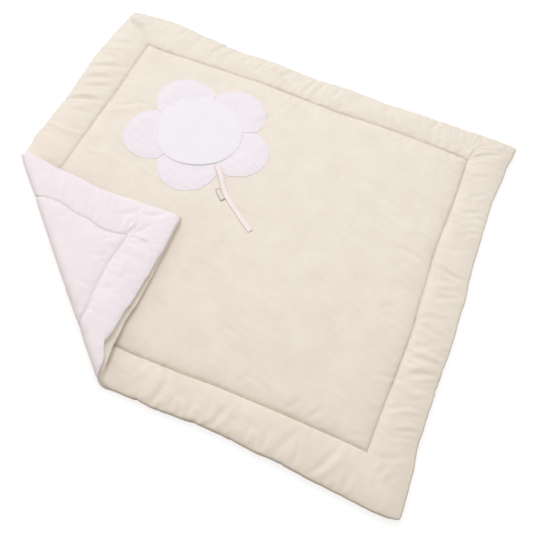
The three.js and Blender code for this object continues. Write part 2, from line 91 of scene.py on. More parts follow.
MIDDLE_LEVEL = 10
HALF_LOFT = 10
JOIN_LEVEL = -3.5
JOIN_GAP = 0.3
RIM_FACE = -1
RIM_BACK = -5.6
CHANNEL_FACE = 1.2
CHANNEL_BACK = -5.3
PANEL_RISE = 45
ARCH_POWER = 2.5
BACK_FULLNESS = 1.3

# %% Small helpers, which work on single numbers and on whole arrays
def mix(a, b, share):
    return a + (b - a) * share


def ease(share):
    """0 to 1 without a corner at either end."""
    share = np.clip(share, 0, 1)
    return share * share * (3 - 2 * share)


def column(rows, which, place):
    """A column of a table read at a place between its rows, smooth at each row."""
    at = np.array([row[0] for row in rows], float)
    values = np.array([row[which] for row in rows], float)
    row = np.clip(np.searchsorted(at, place, side="right") - 1, 0, len(at) - 2)
    share = ease((place - at[row]) / (at[row + 1] - at[row]))
    return mix(values[row], values[row + 1], share)


def side_distances(x, y):
    return {"left": x + WIDTH / 2, "right": WIDTH / 2 - x, "near": y + DEPTH / 2, "far": DEPTH / 2 - y}


def inset(x, y):
    """How far a point of the cut is from the nearest edge."""
    return np.minimum.reduce(list(side_distances(x, y).values()))


# %% [markdown]
# ## How the edges wander
# A padded mat never lies with straight sides. These tables give, along each side, how far
# the edge and the channel lie outside their straight lines, in millimetres. The edges follow
# those of the CAD model, so that the two outlines agree closely. The channel follows the
# picture more closely here, above all where it winds over the folded corner.

# %% Bows of the four sides: place along the side, edge, channel
SIDE_BOWS = {
    "near": [
        (-475, -5, 0), (-392, -3.2, -2), (-305, -1, -9), (-188, -1.9, -5), (-120, -2.8, 0),
        (-60, -3, 2), (15, 0, 0), (115, -5, -5), (240, -1, -6), (335, 5, -5), (450, 10, -2), (475, 8, 0),
    ],
    "right": [
        (-425, 5, -4), (-350, 2, -3), (-295, -4, -3), (-170, -4, 0), (-100, -1, 1),
        (0, -3, -4), (100, -9, -9), (245, -12, -7), (350, -5, -9), (425, 4, -7),
    ],
    "far": [
        (-475, 0, 0), (-425, 6, 0), (-350, 9, -2), (-275, 1, 2), (-190, -6, 5), (-115, -2, 8),
        (0, -7, 5), (75, -2, 3), (170, -5, 8), (275, 0, 8), (430, 2, 3), (475, 0, 0),
    ],
    "left": [
        (-425, -5, -2), (-345, -2.2, -4), (-297, -1, -13), (-243, -0.2, -7), (-194, 1, 0),
        (-147, 1.9, -8), (-110, 3, -4), (-25, 8, -4), (50, 4, -4),
        (120, 2, -4), (185, 5, -5), (255, 9, -2), (355, 4, -1), (425, -1, 3),
    ],
}
BOW_FADE = 150


def bow(side, place, distance):
    edge = column(SIDE_BOWS[side], 1, place)
    channel = column(SIDE_BOWS[side], 2, place)
    outer = mix(edge, channel, ease(distance / BORDER))
    inner = channel * (1 - ease((distance - BORDER) / BOW_FADE))
    return np.where(distance < BORDER, outer, inner)


# %% [markdown]
# ## Smooth random numbers
# Nothing on a sewn mat is regular. All its unevenness comes from one function, which gives
# random numbers on a lattice and blends smoothly between them. It is seeded, so that every
# run gives the same mat.

# %% Smooth random numbers
LATTICE = 512


def smooth_noise(u, v, seed):
    """Random values from -1 to 1 at whole numbers of u and v, blended smoothly between them."""
    table = np.random.default_rng(seed).uniform(-1, 1, (LATTICE, LATTICE))
    low_u = np.floor(u).astype(int)
    low_v = np.floor(v).astype(int)
    share_u = ease(u - low_u)
    share_v = ease(v - low_v)

    def corner(step_u, step_v):
        return table[(low_u + step_u) % LATTICE, (low_v + step_v) % LATTICE]

    first = mix(corner(0, 0), corner(1, 0), share_u)
    second = mix(corner(0, 1), corner(1, 1), share_u)
    return mix(first, second, share_v)


# %% [markdown]
# ## The sewn rim
# The two fabrics are sewn together right sides in and turned, so the rim is a seam. It is
# drawn in a little, and the fuller face fabric rolls out over it. On the near side both
# fabrics roll out only a little, because the picture shows the seam itself there. The
# stitches also pull small scallops and a few sharp notches into it. Where the near side is
# folded over, its rim turns up: the seam moves back, most of all near the bend, and the
# beige fabric shows as a strip beside it.

# %% How far the seam is drawn in, the fabrics roll out, and the folded rim turns up
RIM_DRAW_IN = 4
DRAW_IN_REACH = 15
FACE_ROLL = 8
NEAR_FACE_ROLL = 2.5
NEAR_BACK_ROLL = 2
ROLL_FROM = 1
ROLL_AT = 5
TURNED_EDGE_REACH = 28
TURNED_EDGE = [
    (10, 0, 0), (22, 9, 0), (36, 14, 2), (50, 17, 4), (70, 18, 7), (90, 14, 8), (106, 13, 9),
    (120, 12, 7), (137, 9, 4.5), (163, 6.5, 3.7), (190, 3, 2.4), (230, 0, 3.4),
]


def rolled(distance, size):
    """A bulge of the given size a few millimetres in from the rim, which is 0 on the rim."""
    share = np.maximum(distance - ROLL_FROM, 0) / (ROLL_AT - ROLL_FROM)
    return size * share * np.exp(1 - share)


def rim_shift(side, distance, across, layer):
    """How far the cloth near a rim is carried out, with where it is across the fold.

    The layer is "face", "back" or "seam"; the cloth at the seam, inside, rolls nowhere.
    """
    drawn_in = -RIM_DRAW_IN * np.exp(-distance / DRAW_IN_REACH)
    if side != "near":
        return drawn_in + rolled(distance, FACE_ROLL if layer == "face" else 0)
    from_bend = np.clip(across, TURNED_EDGE[0][0], TURNED_EDGE[-1][0])
    seam_back = column(TURNED_EDGE, 1, from_bend)
    face_back = column(TURNED_EDGE, 2, from_bend)
    drawn_in = drawn_in - seam_back * np.exp(-distance / TURNED_EDGE_REACH)
    turned_over = ease((across - 5) / 30)
    flap_roll = FACE_ROLL + 0.84 * seam_back - face_back
    sizes = {
        "face": mix(NEAR_FACE_ROLL, flap_roll, turned_over),
        "back": mix(NEAR_BACK_ROLL, 0, turned_over),
        "seam": 0,
    }
    return drawn_in + rolled(distance, sizes[layer])


# %% Scallops along the rim, and notches: side, place along it, depth, half width
SCALLOPS = [(9, 0.45), (24, 0.9)]
SCALLOP_REACH = 9
NOTCHES = [
    ("near", -12, 3.2, 3), ("near", 28, 2.2, 3), ("near", 97, 2.6, 3), ("near", 168, 1.6, 4),
    ("near", 262, 1.8, 4), ("right", 55, 2.4, 4), ("right", -12, 1.6, 4), ("right", -146, 2.2, 4),
    ("right", -188, 1.6, 4), ("right", -290, 1.8, 4), ("far", -223, 2.6, 4), ("far", -122, 1.4, 4),
    ("far", -52, 1.4, 4), ("left", 116, 2.2, 4), ("left", 48, 1.6, 4), ("left", 222, 1.6, 4),
]


def rim_edge(side, place, distance, number):
    wave = sum(height * smooth_noise(place / width, 0 * place, 700 + number) for width, height in SCALLOPS)
    notches = [notch[1:] for notch in NOTCHES if notch[0] == side]
    pull = sum(depth * np.exp(-(((place - at) / half) ** 2)) for at, depth, half in notches)
    return (wave - pull) * np.exp(-distance / SCALLOP_REACH)


# %% [markdown]
# The four corners aren't sharp either. The square of cloth in each is squeezed towards a
# quarter circle, with the mapping that turns a square into a disc.

# %% Corners and the whole sideways shift
CORNER_ROUND = 17
SIDES = ["near", "right", "far", "left"]


def corner_pull(own, beside):
    """How far a point goes in from its own side, with its distances from both sides."""
    u = np.clip(1 - own / CORNER_ROUND, 0, 1)
    v = np.clip(1 - beside / CORNER_ROUND, 0, 1)
    return CORNER_ROUND * u * (1 - np.sqrt(1 - v * v / 2))


def shift(x, y, across, layer):
    """How far a point of the cut is carried sideways within the cloth."""
    distance = side_distances(x, y)
    place = {"left": y, "right": y, "near": x, "far": x}
    to_ends = {
        "left": np.minimum(distance["near"], distance["far"]),
        "near": np.minimum(distance["left"], distance["right"]),
    }
    to_ends["right"] = to_ends["left"]
    to_ends["far"] = to_ends["near"]
    out = {}
    for number, side in enumerate(SIDES):
        own = distance[side]
        out[side] = bow(side, place[side], own) + rim_shift(side, own, across, layer)
        out[side] = out[side] + rim_edge(side, place[side], own, number) - corner_pull(own, to_ends[side])
    return out["right"] - out["left"], out["far"] - out["near"]


# %% [markdown]
# ## The fold
# The near left corner is turned over along a slanting line. Across that line the cloth goes
# round a half circle, and beyond it the flap comes back over the face. A real flap doesn't
# lie where a sheet of paper would: the padding pushes it along and pulls it back a little,
# and it slopes down from the bend to its tip.

# %% The fold line and the flap's lie: distance back from the bend, slide along it, shortening
FOLD_ON_LEFT = 392
FOLD_ON_NEAR = 419
FOLD_RADIUS = 10.5
FOLD_THINNING = 0.15
FOLD_EASE = 40
PRESS_UNDER_FLAP = 0.22
PRESS_OUTSIDE = -30
PRESS_INSIDE = 10
FLAP_LIE = [(0, 0, 0), (60, 9, 6), (140, 17, 14), (251, 16, 6)]
FLAP_SLOPE = 0.016

fold_start = np.array([-WIDTH / 2, FOLD_ON_LEFT - DEPTH / 2])
fold_end = np.array([FOLD_ON_NEAR - WIDTH / 2, -DEPTH / 2])
fold_along = (fold_end - fold_start) / np.linalg.norm(fold_end - fold_start)
fold_across = np.array([fold_along[1], -fold_along[0]])
fold_arc = math.pi * FOLD_RADIUS


def across_fold(x, y):
    return (x - fold_start[0]) * fold_across[0] + (y - fold_start[1]) * fold_across[1]


def along_fold(x, y):
    return (x - fold_start[0]) * fold_along[0] + (y - fold_start[1]) * fold_along[1]


def bend_share(across):
    """1 in the bend, easing to 0 on both sides of it."""
    outside = np.maximum(np.maximum(-across, across - fold_arc), 0)
    return 1 - ease(outside / FOLD_EASE)


def flap_share(x, y):
    """1 where the flap lies over the face, easing to 0 a little outside its outline."""
    across = across_fold(x, y)
    back = np.maximum(-across, 0)
    along = along_fold(x, y) - column(FLAP_LIE, 1, back)
    above_x = fold_start[0] + fold_along[0] * along + fold_across[0] * (fold_arc + back)
    above_y = fold_start[1] + fold_along[1] * along + fold_across[1] * (fold_arc + back)
    share = ease((inset(above_x, above_y) - PRESS_OUTSIDE) / (PRESS_INSIDE - PRESS_OUTSIDE))
    return np.where(across > 0, 0, share)


def placed(x, y, height, layer):
    """Where a point of the cut comes to once folded, in millimetres."""
    across = across_fold(x, y)
    moved_x, moved_y = shift(x, y, across, layer)
    free = 1 - bend_share(across)
    shift_across = (moved_x * fold_across[0] + moved_y * fold_across[1]) * free
    shift_along = moved_x * fold_along[0] + moved_y * fold_along[1]
    back = np.maximum(0, across - fold_arc)
    turn = np.clip(across / fold_arc, 0, 1) * math.pi
    flat_part = np.minimum(across, 0) - back + column(FLAP_LIE, 2, back)
    reach = flat_part + shift_across * np.cos(turn) + (FOLD_RADIUS - height) * np.sin(turn)
    along = along_fold(x, y) + shift_along + column(FLAP_LIE, 1, back)
    rise = FOLD_RADIUS - (FOLD_RADIUS - height) * np.cos(turn)
    return np.stack([
        fold_start[0] + fold_along[0] * along + fold_across[0] * reach,
        fold_start[1] + fold_along[1] * along + fold_across[1] * reach,
        MIDDLE_LEVEL + rise - FLAP_SLOPE * back,
    ], axis=-1)


print("fold line is", round(float(np.linalg.norm(fold_end - fold_start))), "mm long")

# %% [markdown]
# ## The padding's plain form
# Over the border the fabric stands up as an arch between rim and channel, and inside the
# channel it rises to a level middle. This is the form before any crease or pucker.

# %% Plain heights of the two fabrics
def padded(distance, rim, channel, crown):
    across = np.clip(np.abs(2 * distance / BORDER - 1), 0, 1)
    arch = mix(mix(rim, channel, np.clip(distance / BORDER, 0, 1)), crown, np.sqrt(1 - across**ARCH_POWER))
    rise = np.clip((distance - BORDER) / PANEL_RISE, 0, 1)
    middle = mix(channel, crown, np.sqrt(1 - (1 - rise) ** ARCH_POWER))
    return np.where(distance < BORDER, arch, middle)


def plain_face(x, y):
    across = across_fold(x, y)
    thinned = 1 - FOLD_THINNING * np.maximum(bend_share(across), np.where(across > 0, 1, 0))
    pressed = 1 - PRESS_UNDER_FLAP * flap_share(x, y)
    return padded(inset(x, y), RIM_FACE, CHANNEL_FACE, HALF_LOFT * thinned * pressed)


def plain_back(x, y):
    """The back lies flat on the floor, and stands up round and full on the flap."""
    across = across_fold(x, y)
    thinned = 1 - FOLD_THINNING * bend_share(across)
    full = padded(inset(x, y), RIM_BACK, CHANNEL_BACK, -HALF_LOFT * thinned)
    fuller = padded(inset(x, y), RIM_BACK, CHANNEL_BACK, -HALF_LOFT * BACK_FULLNESS)
    floored = np.maximum(fuller, -MIDDLE_LEVEL * thinned)
    return mix(floored, full, ease(across / fold_arc))


# %% [markdown]
# ## Puckers
# A sewn seam is a little shorter than the cloth it holds, so the cloth puckers on both sides
# of it: fine and close together at the seam, and fewer and broader further away. Each pucker
# is a soft bulge with a sharper valley beside it. Smooth random numbers, taken along the
# seam, give the bulges, and their size falls off with the distance from the seam.
#
# The puckers come in clusters: some lengths of a seam are sewn tight and others lie smooth.
# A broad random field over the whole cut says where they are lively.

# %% Bulges and clusters
CLUSTER_WIDTH = 70


def bulges(u, v, seed):
    """Round bulges with sharper valleys between them, from about -0.8 to 1.4."""
    wave = smooth_noise(u, v, seed)
    return 2.4 * np.sqrt(wave * wave + 0.01) - 1


def cluster(x, y, seed):
    """How lively the puckers are, from 0.2 where the cloth is smooth to 1.5 where it is gathered."""
    return 0.2 + 1.3 * ease(0.5 + 0.8 * smooth_noise(x / CLUSTER_WIDTH, y / CLUSTER_WIDTH, seed + 90))


# %% Puckers along the rim and along both sides of the channel: width, reach and height in mm
PUCKERS = [
    (6, 7, 0.3),
    (12, 15, 0.45),
    (26, 28, 0.4),
]
SEAM_HOLDS = 3.5
PUCKER_LEAN = 0.35
BESIDE = {
    "near": ("left", "right"),
    "far": ("left", "right"),
    "left": ("near", "far"),
    "right": ("near", "far"),
}


def seam_puckers(x, y, seed):
    distance = side_distances(x, y)
    total = np.zeros(np.shape(x))
    for number, side in enumerate(SIDES):
        place = x if side in ("near", "far") else y
        beside = np.minimum(distance[BESIDE[side][0]], distance[BESIDE[side][1]])
        for level, (width, reach, height) in enumerate(PUCKERS):
            for seam, from_corner in ((0, 15), (BORDER, BORDER)):
                off = np.abs(distance[side] - seam)
                inside = ease((beside - from_corner + 15) / 30)
                lean = PUCKER_LEAN * smooth_noise(place / 70, 0 * place, seed + 40 + number)
                u = (place + lean * (distance[side] - seam)) / width
                v = off / (4 * reach) + 7 * level
                wave = bulges(u, v, seed + 10 * number + level + (0 if seam else 100))
                holds = 1 - np.exp(-((off / SEAM_HOLDS) ** 2))
                total += height * wave * np.exp(-off / reach) * inside * holds
    return total * cluster(x, y, seed)


# %% [markdown]
# ## The creases that the picture shows
# Besides the puckers, the mat has creases of its own: long soft valleys across the border, ridges beside
# them, and a few that run into the middle. Each is given one by one: where it starts and ends on the cut,
# how wide it is, how deep (a ridge is a negative depth), and how far it bows to its left on the way.

# %% Creases on the face: start x, y, end x, y, width, depth, bow
FACE_CREASES = [
    # left border, from the far corner towards the fold
    (-474, 402, -398, 347, 4, 3.2, 4),
    (-462, 412, -410, 352, 6, -1.2, 4),
    (-467, 310, -420, 328, 6, 1.6, 0),
    (-472, 288, -428, 304, 5, -1.0, 0),
    (-470, 262, -430, 275, 6, 1.0, 2),
    (-469, 238, -429, 258, 5, -1.2, 0),
    (-470, 222, -400, 258, 6, 2.0, 2),
    (-467, 204, -422, 226, 5, -1.2, 0),
    (-468, 190, -410, 218, 5, 1.8, 0),
    (-465, 172, -405, 202, 6, -1.2, 0),
    (-452, 168, -400, 194, 4, 1.2, 2),
    (-466, 134, -418, 156, 6, -1.4, 0),
    (-472, 116, -408, 148, 5, 2.4, 3),
    (-455, 102, -415, 122, 7, -1.2, 0),
    (-474, 48, -396, 46, 6, -1.6, -6),
    (-470, 20, -410, 8, 9, 1.0, 4),
    # far border
    (-447, 386, -412, 402, 5, -1.2, 0),
    (-400, 386, -376, 398, 5, -1.0, 0),
    (-330, 420, -345, 380, 6, 1.0, 2),
    (-290, 422, -300, 372, 7, 1.2, 3),
    (-222, 424, -246, 372, 5, 2.6, -6),
    (-205, 420, -228, 368, 6, -1.4, -4),
    (-184, 424, -190, 405, 4, 1.2, 0),
    (-156, 420, -172, 380, 5, 1.2, -3),
    (-122, 422, -136, 366, 4, 1.8, 0),
    (-96, 420, -110, 378, 6, -1.0, 0),
    (-52, 422, -74, 376, 5, 2.0, -4),
    (-34, 418, -50, 380, 6, -1.0, 0),
    (6, 420, -10, 352, 5, 1.6, -3),
    (26, 418, 16, 372, 5, 1.2, 0),
    (64, 416, 54, 374, 5, 1.2, 0),
    (118, 418, 108, 388, 6, 0.8, 2),
    (190, 420, 176, 376, 7, 1.0, -3),
    (300, 420, 288, 378, 7, 0.8, 0),
    (395, 350, 446, 396, 3, 2.2, 8),
    (400, 345, 456, 382, 3, 2.2, 7),
    (404, 341, 462, 366, 3, 1.6, 5),
    (396, 356, 430, 406, 3.5, 1.4, 6),
    (452, 414, 402, 372, 7, -1.0, 5),
    # right border, from the far corner to the near one
    (446, 372, 404, 352, 5, 1.8, 0),
    (446, 314, 412, 297, 5, 1.2, 0),
    (456, 268, 420, 252, 6, 0.9, 3),
    (459, 221, 416, 200, 5, 1.6, 0),
    (456, 190, 422, 174, 5, -1.2, 0),
    (462, 166, 438, 155, 5, 1.4, 0),
    (452, 118, 412, 108, 7, 0.9, 2),
    (464, 52, 394, 66, 5, 2.6, 7),
    (461, 36, 408, 13, 6, -1.6, 0),
    (460, 7, 412, -14, 5, 1.8, 0),
    (452, -40, 402, -44, 6, -1.0, 0),
    (456, -84, 414, -74, 7, 1.0, 3),
    (436, -113, 402, -128, 6, 1.5, 0),
    (462, -140, 410, -144, 5, 2.4, 0),
    (444, -156, 408, -171, 5, -1.5, 0),
    (463, -163, 414, -183, 5, 2.0, 0),
    (458, -206, 420, -212, 6, -0.9, 3),
    (432, -244, 396, -259, 5, 1.6, 0),
    (462, -242, 408, -256, 5, -1.4, 0),
    (466, -268, 422, -286, 5, -1.4, 0),
    (458, -280, 420, -296, 4, 1.5, 0),
    (465, -291, 420, -305, 4, 1.3, 0),
    # near right corner, where wrinkles run to all sides
    (452, -330, 402, -352, 6, 1.3, 3),
    (448, -352, 414, -392, 5, -1.1, 0),
    (430, -350, 418, -400, 5, 1.2, 2),
    (456, -384, 424, -372, 5, 1.0, 0),
    (398, -372, 432, -412, 5, -1.0, 0),
    # near border, from the fold to the right
    (-14, -416, -12, -362, 6, 1.4, 3),
    (-28, -415, -26, -384, 5, 1.2, 0),
    (2, -416, 8, -360, 7, -1.2, 0),
    (14, -418, 20, -352, 6, 2.0, -4),
    (36, -414, 42, -370, 6, -1.0, 0),
    (78, -414, 84, -380, 7, 0.9, 0),
    (128, -415, 136, -374, 6, 2.0, 0),
    (146, -412, 152, -372, 7, -1.0, 0),
    (190, -412, 194, -376, 7, 0.9, 2),
    (223, -414, 224, -372, 6, 1.5, 0),
    (248, -412, 276, -356, 6, 1.8, 4),
    (268, -412, 292, -364, 7, -1.2, 0),
    (284, -412, 278, -368, 5, 1.6, 0),
    (314, -416, 348, -354, 6, 1.8, -4),
    (334, -412, 364, -364, 7, -1.1, 0),
    (378, -414, 386, -374, 7, 1.0, 0),
    # middle panel, beside the channel and the flower
    (-332, 216, -308, 229, 4, 1.0, 0),
    (-366, 152, -296, 188, 5, 1.4, 4),
    (-376, 131, -316, 161, 6, -1.0, 0),
    (-374, 41, -350, 53, 6, 1.0, 0),
    (-354, 24, -330, 36, 6, 0.9, 0),
    (-370, -4, -342, 9, 6, 0.9, 0),
    (372, 60, 312, 69, 5, 2.2, -3),
    (378, 46, 320, 52, 7, -1.3, 0),
    (382, -23, 350, -12, 6, 1.1, 0),
    (350, -60, 320, -74, 6, 1.0, 0),
    (382, -325, 352, -332, 5, 1.0, 0),
    (50, -340, 54, -314, 6, 0.8, 0),
    (134, -330, 148, -306, 6, 0.8, 0),
    (234, -339, 254, -308, 6, 0.9, 0),
    (276, -336, 300, -304, 6, 1.0, 0),
    (-30, 312, -78, 226, 8, 1.2, 8),
    (-10, 330, -60, 262, 9, -0.8, 6),
]
SHOULDER_HEIGHT = 0.35
SHOULDER_AT = 1.9


def crease_heights(creases, x, y):
    """The sum of all creases of a table at the points of the cut."""
    total = np.zeros(np.shape(x))
    for start_x, start_y, end_x, end_y, width, depth, bows in creases:
        length = math.hypot(end_x - start_x, end_y - start_y)
        along_x = (end_x - start_x) / length
        along_y = (end_y - start_y) / length
        share = ((x - start_x) * along_x + (y - start_y) * along_y) / length
        off = (y - start_y) * along_x - (x - start_x) * along_y - bows * 4 * share * (1 - share)
        off = off / (width * (0.7 + 0.5 * np.clip(share, 0, 1)))
        fade = ease((share + 0.1) / 0.3) * ease((1.1 - share) / 0.5)
        shoulders = np.exp(-((off - SHOULDER_AT) ** 2)) + np.exp(-((off + SHOULDER_AT) ** 2))
        total -= depth * fade * (np.exp(-off * off) - SHOULDER_HEIGHT * shoulders)
    return total


# %% Creases on the back fabric, on the flap: the same columns, on the same cut
BACK_CREASES = [
    # a star of gathers where the channel turns its corner
    (-394, -340, -428, -356, 3, 3.2, 2),
    (-400, -350, -432, -378, 4, 1.8, 4),
    (-390, -352, -384, -392, 4, 2.0, -5),
    (-384, -390, -366, -412, 6, 1.2, 0),
    (-398, -334, -436, -334, 4, -1.6, -3),
    (-388, -354, -402, -390, 5, -1.5, 2),
    # soft waves in the border beyond it
    (-446, -352, -462, -392, 6, 1.6, 3),
    (-434, -306, -454, -344, 6, 1.3, 3),
    (-372, -352, -362, -398, 6, -0.9, -3),
    (-352, -350, -344, -396, 6, 0.9, -3),
    (-396, -268, -424, -262, 6, 0.8, 2),
    (-262, -340, -266, -380, 8, 0.6, 3),
    (-200, -344, -196, -390, 8, 0.6, -3),
    # the middle of the flap, beside the channel
    (-384, -326, -362, -300, 6, 0.8, 0),
    (-330, -330, -316, -304, 7, 0.6, 0),
    (-250, -332, -240, -306, 7, 0.6, 0),
    (-384, -220, -356, -206, 7, 0.6, 0),
]

# %% [markdown]
# ## The wander of the filling
# The wadding under the fabric isn't even, so the whole surface rises and falls by a
# millimetre or so, over a hand's width. It shows as faint patches of light and shade. Here
# and there the fabric also has a small dent, as wide as a finger, where the filling is thin,
# and fine slack wrinkles, which lie along the long side.

# %% Wander: width and height in mm, dents, and slack wrinkles
WANDER = [(130, 0.9), (64, 0.45), (27, 0.2), (12, 0.07)]
DENT_WIDTH = (21, 13)
DENT_DEPTH = 0.5
DENT_FROM = 0.35
SLACK_WIDTH = (46, 10)
SLACK_TURN = 0.3
SLACK_HEIGHT = 0.5


def wander(x, y, seed):
    total = np.zeros(np.shape(x))
    for level, (width, height) in enumerate(WANDER):
        total += height * smooth_noise(x / width, y / width + 5 * level, seed + level)
    dents = smooth_noise(x / DENT_WIDTH[0], (y + 0.4 * x) / DENT_WIDTH[1], seed + 8)
    slack = bulges(x / SLACK_WIDTH[0], (y + SLACK_TURN * x) / SLACK_WIDTH[1], seed + 9)
    total += SLACK_HEIGHT * (cluster(x, y, seed + 20) - 0.2) * slack
    return total - DENT_DEPTH * ease((dents - DENT_FROM) / (1 - DENT_FROM))


# %% [markdown]
# ## All the forms together
# The thread holds the cloth on the rim and on the channel, so creases and wander fade out
# there, and the channel itself is a narrow groove. The creases are strengthened in the left
# and far borders and softened in the near one, as the picture shows. The face is calmer
# where the flap covers it and under the flower, which is sewn on it.

# %% Heights of the two fabrics with every form on them
FACE_SEED = 11
BACK_SEED = 57
SHELTERED = 0.75
FLAP_CALM = 0.35
LEFT_DEEPER = 0.5
FAR_DEEPER = 0.25
NEAR_SOFTER = 0.35
GROOVE_FACE = 2.6
GROOVE_BACK = 1.4
GROOVE_WIDTH = 1.7
FLOWER = np.array([-173.0, 158.0])
FLOWER_CALM = 0.8


def held_by_seams(x, y):
    """0 on the rim and on the channel, which the thread holds, and 1 a little away from them."""
    distance = inset(x, y)
    from_rim = ease(distance / 5)
    from_channel = 1 - np.exp(-(((distance - BORDER) / 4) ** 2))
    return from_rim * from_channel


def groove(x, y):
    """1 on the channel, where the thread sinks into the cloth, and 0 a few millimetres beside it."""
    return np.exp(-(((inset(x, y) - BORDER) / GROOVE_WIDTH) ** 2))


def side_strength(x, y):
    """The picture's creases are deepest in the left border and softest in the near one."""
    distance = side_distances(x, y)
    beside = {side: 1 - ease((distance[side] - BORDER) / 30) for side in SIDES}
    return 1 + LEFT_DEEPER * beside["left"] + FAR_DEEPER * beside["far"] - NEAR_SOFTER * beside["near"]


def face_height(x, y):
    """The face with all its forms, calm under the flap and under the flower, which hold it."""
    across = across_fold(x, y)
    sheltered = np.maximum(flap_share(x, y), ease((across + 20) / 20))
    alive = 1 - SHELTERED * sheltered
    flower_holds = 1 - FLOWER_CALM * ease((150 - np.hypot(x - FLOWER[0], y - FLOWER[1])) / 60)
    creases = crease_heights(FACE_CREASES, x, y) * side_strength(x, y)
    forms = creases + wander(x, y, FACE_SEED) * flower_holds
    forms = forms * held_by_seams(x, y) + seam_puckers(x, y, FACE_SEED)
    return plain_face(x, y) + alive * forms - GROOVE_FACE * groove(x, y)


def back_height(x, y):
    """Puckers and creases only where the back is turned up; the floor keeps the rest flat."""
    turned_up = ease(across_fold(x, y) / fold_arc)
    forms = crease_heights(BACK_CREASES, x, y) + wander(x, y, BACK_SEED)
    alive = turned_up * (forms * held_by_seams(x, y) + FLAP_CALM * seam_puckers(x, y, BACK_SEED))
    return plain_back(x, y) - alive + turned_up * GROOVE_BACK * groove(x, y)


# %% [markdown]
# ## The nets
# Both fabrics are one net of crossing lines. The lines stand close together at the rim and
# at the channel, where the form turns quickly, and about 4 mm apart elsewhere. Using the
# same lines for both fabrics keeps their points opposite each other along the rim.

# %% Lines of the net, measured in from an edge
RIM_LINES = [0, 1, 2.5, 4.5, 7, 10, 13.5, 17.5]
CHANNEL_LINES = [73, 76, 78.4, 80, 81.6, 84, 87.5, 91.5]
BORDER_PITCH = 4
MIDDLE_PITCH = 4.3


def between(start, end, pitch):
    steps = round((end - start) / pitch)
    return list(np.linspace(start, end, steps + 1)[1:-1])


def net_lines(length):
    half = RIM_LINES + between(RIM_LINES[-1], CHANNEL_LINES[0], BORDER_PITCH)
    half = half + CHANNEL_LINES + between(CHANNEL_LINES[-1], length / 2, MIDDLE_PITCH)
    return np.array(half + [length / 2] + [length - d for d in reversed(half)]) - length / 2


net_x, net_y = np.meshgrid(net_lines(WIDTH), net_lines(DEPTH), indexing="ij")
print("net of", net_x.shape[0], "x", net_x.shape[1], "points")


def quads(grid):
    """The faces of a grid of numbers, seen from above."""
    a = grid[:-1, :-1].ravel()
    b = grid[1:, :-1].ravel()
    c = grid[1:, 1:].ravel()
    d = grid[:-1, 1:].ravel()
    return [tuple(face) for face in np.stack([a, b, c, d], axis=1).tolist()]


# %% [markdown]
# ## Cloth that buckles by itself
# Placed creases alone look drawn. On the real mat the fabric is a few percent longer than
# the seams that hold it, so it buckles between them. Blender's cloth does the same: the
# net is pinned along the rim and the channel, soft springs towards its first place stand
# for the filling, and a negative shrink makes the fabric grow near the seams. A stiff
# bending resistance gives puckers of a padded cloth's width, not those of paper. The
# movement is capped, scaled down where the cloth is calm, and added to the net's points.

# %% Letting Blender's cloth settle a net over its filling
CLOTH_FRAMES = 18
CLOTH_GROWTH = 0.04
CLOTH_STIFF = 14
CLOTH_HOLD = 0.18
CLOTH_CAP = 2.2
RIM_GATHER = 35
CHANNEL_GATHER = 26
MIDDLE_GATHER = 0.8


def gather_share(x, y):
    """How much of the extra length the cloth has at a point: all at the rim, less inside the channel."""
    distance = inset(x, y)
    at_rim = np.exp(-((distance / RIM_GATHER) ** 2))
    at_channel = np.exp(-(((distance - BORDER) / CHANNEL_GATHER) ** 2))
    return np.maximum(at_rim, at_channel * np.where(distance > BORDER, MIDDLE_GATHER, 1))


def settle(x, y, height, gather):
    """How far each point of a net moves, in millimetres, once the cloth has buckled."""
    start = np.stack([x, y, height], axis=-1).reshape(-1, 3) * MM
    numbers = np.arange(x.size).reshape(x.shape)
    mesh = bpy.data.meshes.new("settling")
    mesh.from_pydata(start.tolist(), [], quads(numbers))
    cloth = bpy.data.objects.new("settling", mesh)
    bpy.context.collection.objects.link(cloth)
    distance = inset(x, y)
    sewn = (distance < 1.2) | (np.abs(distance - BORDER) < 0.5)
    sewn[[0, -1], :] = True
    sewn[:, [0, -1]] = True
    hold = cloth.vertex_groups.new(name="hold")
    still = cloth.vertex_groups.new(name="still")
    for point, (is_sewn, share) in enumerate(zip(sewn.ravel().tolist(), gather.ravel().tolist())):
        hold.add([point], 1.0 if is_sewn else 0.5, "REPLACE")
        still.add([point], 1 - share, "REPLACE")
    modifier = cloth.modifiers.new("cloth", "CLOTH")
    settings = modifier.settings
    settings.quality = 4
    settings.mass = 0.05
    settings.bending_stiffness = CLOTH_STIFF
    settings.vertex_group_mass = "hold"
    settings.pin_stiffness = CLOTH_HOLD
    settings.vertex_group_shrink = "still"
    settings.shrink_min = -CLOTH_GROWTH
    settings.effector_weights.gravity = 0
    modifier.collision_settings.use_collision = False
    modifier.point_cache.frame_end = CLOTH_FRAMES
    for step in range(1, CLOTH_FRAMES + 1):
        bpy.context.scene.frame_set(step)
    settled = cloth.evaluated_get(bpy.context.evaluated_depsgraph_get())
    ends = np.empty(len(start) * 3, np.float32)
    settled.data.vertices.foreach_get("co", ends)
    bpy.data.objects.remove(cloth)
    bpy.context.scene.frame_set(1)
    moved = (ends.reshape(-1, 3) - start) / MM
    far = np.linalg.norm(moved, axis=1, keepdims=True)
    moved = moved * np.minimum(1, CLOTH_CAP / np.maximum(far, 1e-6))
    print("cloth settled, points moved up to", round(float(np.linalg.norm(moved, axis=1).max()), 2), "mm")
    return moved.reshape(*x.shape, 3)


# %% Building a closed piece from the net
INNER_FROM = 5
INNER_STEP = 4
LIP_IN = 0.5


